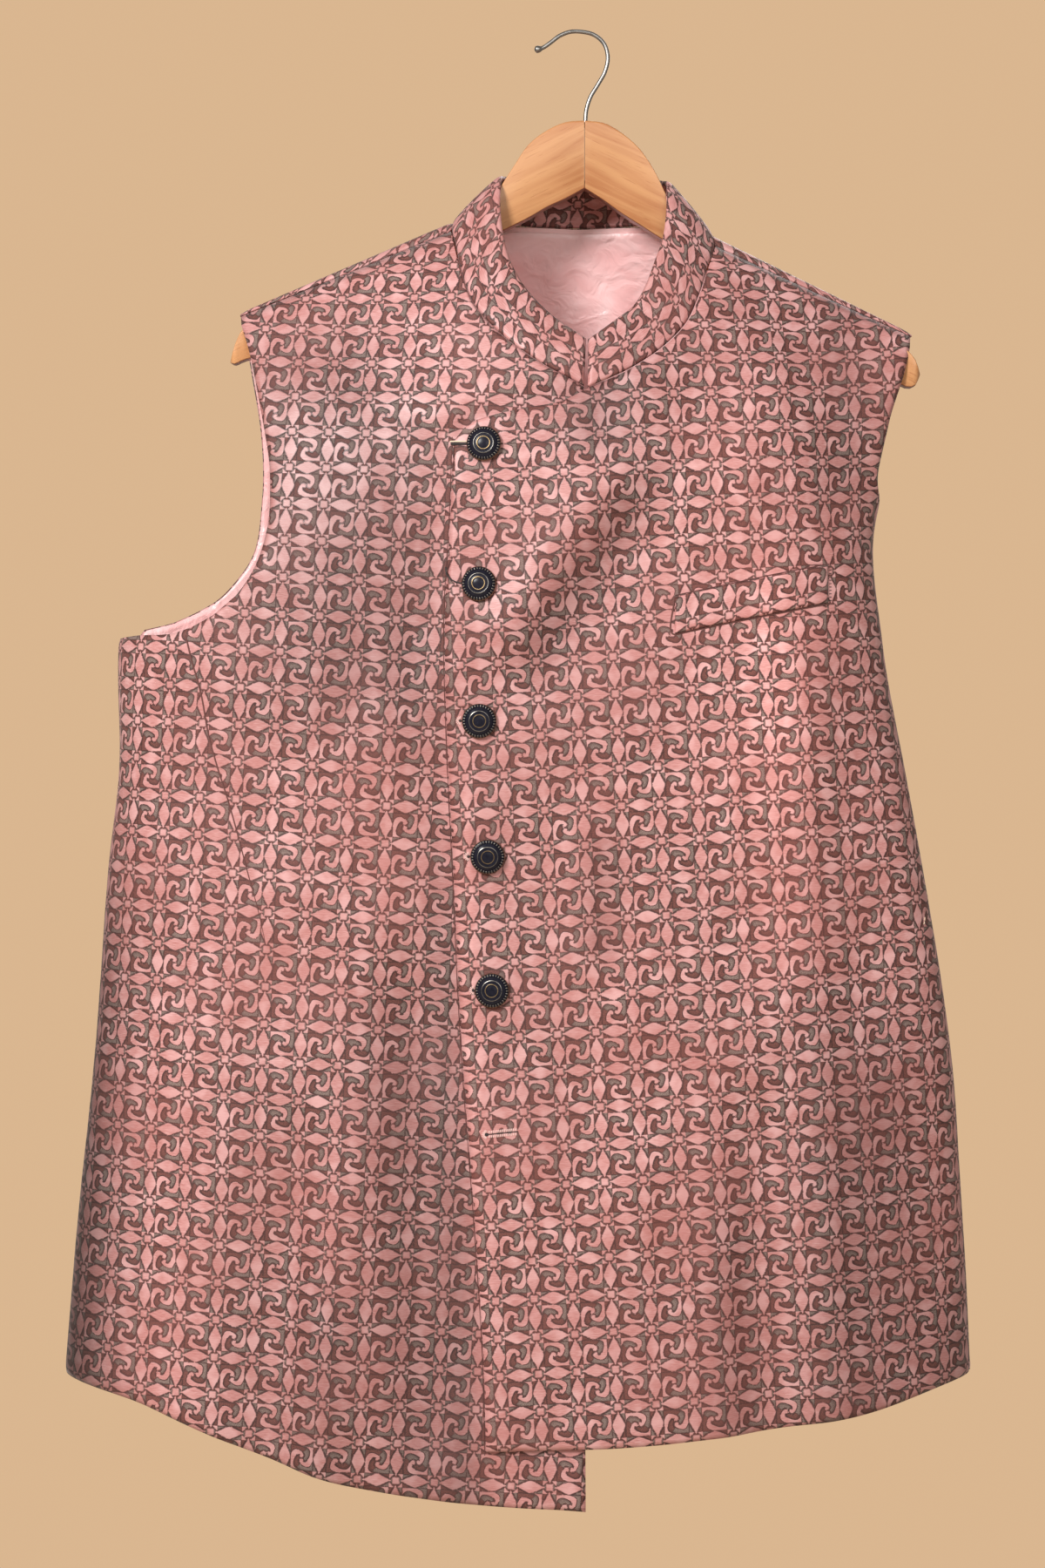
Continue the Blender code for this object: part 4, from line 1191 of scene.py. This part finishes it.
def hanger_half(name, rows, side, stations=70):
    """One arm, as a stack of sections with rounded corners."""
    path = smooth_path(np.column_stack([rows["out"], rows["top"], rows["low"]]), stations)
    steps = (-45, -22.5, 0, 22.5, 45)
    corner = [math.radians(middle - step) for middle in (225, 135, 45, 315) for step in steps]
    tip = path[-1, 0]
    points, faces = [], []
    for out, top, low in path:
        x = HANGER_MIDDLE + side * out
        middle = -HANGER_BOW * (x / SHOULDER_REACH) ** 2
        full = math.sqrt(max(1 - max(1 - (tip - out) / TIP_ROUND, 0) ** 2, 0.02))
        half_y, half_z = HANGER_THICK / 2 * full, (top - low) / 2 * full
        edge = SMALL_EDGE * full
        for turn in corner:
            c, s = math.cos(turn), math.sin(turn)
            y = math.copysign(half_y - edge, c) + edge * c
            z = math.copysign(half_z - edge, s) + edge * s
            points.append((x, middle + y, (top + low) / 2 + z))
    count = len(corner)
    for station in range(stations - 1):
        base = station * count
        for i in range(count):
            j = (i + 1) % count
            faces.append((base + i, base + j, base + count + j, base + count + i))
    last = (stations - 1) * count
    faces += [tuple(range(count - 1, -1, -1)), tuple(range(last, last + count))]
    if side < 0:
        faces = [face[::-1] for face in faces]
    mesh = smooth_mesh(name, points, faces)
    mesh.set_sharp_from_angle(angle=math.radians(40))
    return link(name, mesh, (wood_material(-side * ARM_SLANT),))


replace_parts(hanger_half("hanger_arm_right", HANGER_LEFT, -1), "hanger_half_right")
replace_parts(hanger_half("hanger_arm_left", HANGER_RIGHT, 1), "hanger_half_left")


def tube(name, points, radius, finish, sizes=None, sides=6, smooth=True):
    """A round wire through these points."""
    curve = bpy.data.curves.new(name, "CURVE")
    curve.dimensions = "3D"
    curve.bevel_depth, curve.bevel_resolution, curve.use_fill_caps = radius, sides, True
    spline = curve.splines.new("POLY")
    spline.points.add(len(points) - 1)
    for i, point in enumerate(points):
        spline.points[i].co = (*point, 1)
        if sizes is not None:
            spline.points[i].radius = sizes[i]
    spline.use_smooth = smooth
    return link(name, curve, (finish,))


hook_path = smooth_path(np.column_stack([HOOK["x"], 0 * HOOK["x"], HOOK["z"]]), 110)
hook_path = np.vstack([[hook_path[0] - [0, 0, 4 * MM]], hook_path])
from_end = np.cumsum(np.linalg.norm(np.diff(hook_path[::-1], axis=0), axis=1))[::-1]
from_end = np.append(from_end, 0) / MM
ball = 1 + 0.75 * np.sqrt(np.clip(1 - ((from_end - 2.0) / 2.1) ** 2, 0, 1))
ball[-1] = 0.5
hook = tube("hook_wire", hook_path, HOOK_WIRE, STEEL, ball, sides=8)
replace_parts(hook, "hanger_hook")
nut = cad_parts["hanger_nut"]
nut.data.materials.clear()
nut.data.materials.append(STEEL)


# ---------------------------------------------------------------- seams, buttonholes and stitches
def line(name, place, spots, count, lift, radius, finish, sizes=None, sides=3):
    """A thin line on the cloth, smooth through these (x, z) in mm."""
    path = smooth_path(np.array(spots, float) * MM, count)
    frames = [frame_on(place, x, z) for x, z in path]
    points = [tuple(spot + out * lift * MM) for spot, out, _ in frames]
    return tube(name, points, radius * MM, finish, sizes, sides=sides)


def stitches(name, spots, turns, long, wide, finish, high=0.5, lift=0.15):
    """Beads of thread on the over front at these (x, z) in mm, each turned this many degrees."""
    beads = []
    for (x, z), angle in zip(spots, turns):
        spot, out, up = frame_on(placed, x * MM, z * MM)
        level = up.cross(out)
        along = level * math.cos(math.radians(angle)) + up * math.sin(math.radians(angle))
        beads.append((spot + out * lift * MM, along, out, long * MM, wide * MM, high * MM))
    points, faces = [], []
    add_beads(points, faces, beads)
    return link(name, smooth_mesh(name, points, faces), (finish,))


def around(middle, reach, angles):
    """Spots (x, z) at these angles in degrees round a middle."""
    turns = [math.radians(angle) for angle in angles]
    return [(middle[0] + reach * math.cos(turn), middle[1] + reach * math.sin(turn)) for turn in turns]


def thinning(count, loss):
    """Sizes that fall off towards a line's end."""
    return [1 - loss * (i / (count - 1)) ** 3 for i in range(count)]


# Painted shade: a thin dark line of uneven width on the under front, just beside the over front's edge.
edge_z = np.linspace(FRONT_EDGE["z"][-1] + 3 * MM, FRONT_EDGE["z"][0] - 3 * MM, 60)
edge_line = [(read(FRONT_EDGE, "z", "x", z) / MM - 0.7, z / MM) for z in np.sort(edge_z)[::-1]]
shade_widths = [0.62 + 0.25 * math.sin(0.9 * i) * math.sin(0.23 * i + 1) for i in range(160)]
line("overlap_shade", placed_under, edge_line, 160, 0, 0.42, SEAM_SHADE, shade_widths)
# The darts' seams: thin dark lines that stand for their thread and for painted shade in the seam's groove.
DART_LEFT = (
    (-241.5, -382), (-238, -396), (-232, -417), (-227, -444), (-222, -462), (-215, -484), (-209, -505),
    (-202.5, -529), (-195.5, -554), (-192, -570),
)
line("dart_left", placed_under, DART_LEFT, 70, 0.15, 0.5, SEAM_SHADE, thinning(70, 0.75))
DART_RIGHT = ((247, -440), (240, -475), (231, -512), (218, -556))
line("dart_right", placed, DART_RIGHT, 40, 0.02, 0.42, SEAM_SHADE, thinning(40, 0.7))
stitches("dart_right_end", [(218, -558), (217.5, -560.5)], (80, 60), 2.6, 0.7, THREAD_PALE)

welt_x = np.linspace(WELT["x"][0], WELT["x"][-1], 30) / MM
welt_low, welt_high = (read(WELT, "x", side, welt_x * MM) / MM for side in ("low", "high"))
edge_below = [(welt_x[0] - 0.4, welt_high[0])] + [(x, z - 0.5) for x, z in zip(welt_x, welt_low)]
line("welt_shade", placed, edge_below, 80, 0.1, 0.5, SEAM_SHADE)
line("welt_top_shade", placed, list(zip(welt_x, welt_high + 0.5)), 60, 0.05, 0.32, SEAM_SHADE)
end_stitches = [(welt_x[-1] + 1.0, welt_low[-1] + 1.5 + 2.1 * i) for i in range(11)]
stitches("welt_end_stitches", end_stitches, [8] * 11, 2.0, 0.45, THREAD_DARK)
corner_marks = [(welt_x[0] + 0.6, welt_high[0] - 0.8), (welt_x[-1] - 0.4, welt_high[-1] - 0.9)]
stitches("welt_corner_marks", corner_marks, (15, -10), 2.4, 0.8, SEAM_SHADE, 0.7, 2.0)

# The first hole: a black slot with a pale binding above it.
FIRST, SECOND = BUTTONS["z"][0] / MM, BUTTONS["z"][1] / MM
slot_ends = ((-77.5, FIRST + 0.4), (-64, FIRST + 0.2))
line("hole_1_slot", placed, slot_ends, 16, 0.15, 0.8, THREAD_DARK, sides=4)
binding_ends = ((-78, FIRST + 1.8), (-64, FIRST + 1.7))
line("hole_1_binding", placed, binding_ends, 16, 0.2, 0.45, THREAD_PALE, sides=4)
# The second: a thin loop of black thread from the overlap's edge.
rises = ((-80.5, 10.5), (-79.8, 6), (-76.5, 2.4), (-71, 0.4), (-66, 0.2))
loop = [(x, SECOND + rise) for x, rise in rises]
line("hole_2_loop", placed, loop, 40, 0.5, 0.42, THREAD_DARK, sides=4)
# The other three: the end of a worked hole, in pink thread.
EYE_REACH = 2.0
for number in (3, 4, 5):
    middle = (BUTTONS["x"][number - 1] / MM - 11.5, BUTTONS["z"][number - 1] / MM)
    fan = [90 + 22.5 * i for i in range(9)]
    stitches(f"hole_{number}_stitches", around(middle, EYE_REACH, fan), fan, 2.0, 0.62, THREAD_PINK)
    stitches(f"hole_{number}_eye", [middle], (0,), 2.0, 1.5, THREAD_DARK, lift=0.05)
# The sixth has no button: an eye, a slit, and stitches all round it.
EYE, SLIT, ROUND_EYE, BESIDE_SLIT = (-55.5, -688.0), (-36.5, -686.0), 2.1, 1.35
slant = math.degrees(math.atan2(SLIT[1] - EYE[1], SLIT[0] - EYE[0]))
stitches("hole_6_eye", [EYE], (0,), 2.6, 2.2, THREAD_DARK, lift=0.05)
line("hole_6_slit", placed, (EYE, SLIT), 24, 0.1, 0.28, THREAD_DARK)
turns = [100 + 20 * i for i in range(9)]
spots = around(EYE, ROUND_EYE, turns)
for i in range(20):
    t = (i + 1.5) / 21.5
    x, z = EYE[0] + (SLIT[0] - EYE[0]) * t, EYE[1] + (SLIT[1] - EYE[1]) * t
    for rise in (BESIDE_SLIT, -BESIDE_SLIT):
        spots.append((x, z + rise))
        turns.append(slant + 90 + 4 * math.sin(7 * i + rise))
stitches("hole_6_stitches", spots, turns, 2.0, 0.62, THREAD_PINK)


# ---------------------------------------------------------------- camera, light and floor
CAMERA_AWAY, CAMERA_X, CAMERA_Z, SEEN_HIGH = 2.2, -33.6 * MM, -473.6 * MM, 0.99
SENSOR, LENS = 36.0, 36.0 * CAMERA_AWAY / SEEN_HIGH

camera = bpy.data.cameras.new("camera")
camera.sensor_fit, camera.sensor_height, camera.lens = "VERTICAL", SENSOR, LENS
camera.clip_start, camera.clip_end = 0.05, 60
viewer = bpy.data.objects.new("camera", camera)
viewer.location = (CAMERA_X, -CAMERA_AWAY, CAMERA_Z)
viewer.rotation_euler = (math.pi / 2, 0, 0)
bpy.context.scene.collection.objects.link(viewer)
bpy.context.scene.camera = viewer


def area_light(name, at, aim, size, watts, color):
    data = bpy.data.lights.new(name, "AREA")
    data.shape, data.size, data.energy, data.color = "DISK", size, watts, color
    lamp = bpy.data.objects.new(name, data)
    lamp.location = at
    lamp.rotation_euler = (Vector(aim) - Vector(at)).to_track_quat("-Z", "Y").to_euler()
    bpy.context.scene.collection.objects.link(lamp)


MIDDLE = (0, 0, -0.45)
area_light("key", (-1.25, -2.05, 0.70), MIDDLE, 0.8, 68, (1.0, 0.98, 0.97))
area_light("fill", (0.7, -2.7, 0.4), MIDDLE, 1.4, 20, (1.0, 0.97, 0.95))
area_light("rear", (0.6, 2.3, 1.0), MIDDLE, 1.6, 13, (1.0, 0.96, 0.92))

# The camera sees a pale beige studio; its light on the jacket is dimmer and nearly white.
world = bpy.data.worlds.new("studio")
world.use_nodes = True
tree = world.node_tree
seen = tree.nodes.new("ShaderNodeLightPath")
lit, backdrop = tree.nodes["Background"], tree.nodes.new("ShaderNodeBackground")
lit.inputs["Color"].default_value, lit.inputs["Strength"].default_value = (0.95, 0.86, 0.78, 1), 0.30
backdrop.inputs["Color"].default_value = (0.70, 0.470, 0.280, 1)
choice = tree.nodes.new("ShaderNodeMixShader")
tree.links.new(seen.outputs["Is Camera Ray"], choice.inputs[0])
tree.links.new(lit.outputs[0], choice.inputs[1])
tree.links.new(backdrop.outputs[0], choice.inputs[2])
tree.links.new(choice.outputs[0], tree.nodes["World Output"].inputs["Surface"])
bpy.context.scene.world = world
bpy.context.scene.view_settings.view_transform = "Standard"

FLOOR_Z, FLOOR_REACH = -1.75, 2.6
turns = np.linspace(0, 2 * math.pi, 96, endpoint=False)
rim = [(FLOOR_REACH * math.cos(turn), FLOOR_REACH * math.sin(turn), FLOOR_Z) for turn in turns]
disc = bpy.data.meshes.new("floor")
disc.from_pydata(rim, [], [tuple(range(len(rim)))])
floor_finish, net, shader = new_material("floor_paint", 0.8)
at = net.place()[0]
paint = net.mix(net.noise(at, 3.0, 2.0), (0.74, 0.60, 0.45), (0.78, 0.64, 0.49))
net.link(paint, shader.inputs["Base Color"])
disc.materials.append(floor_finish)
floor = bpy.data.objects.new("floor", disc)
bpy.context.scene.collection.objects.link(floor)
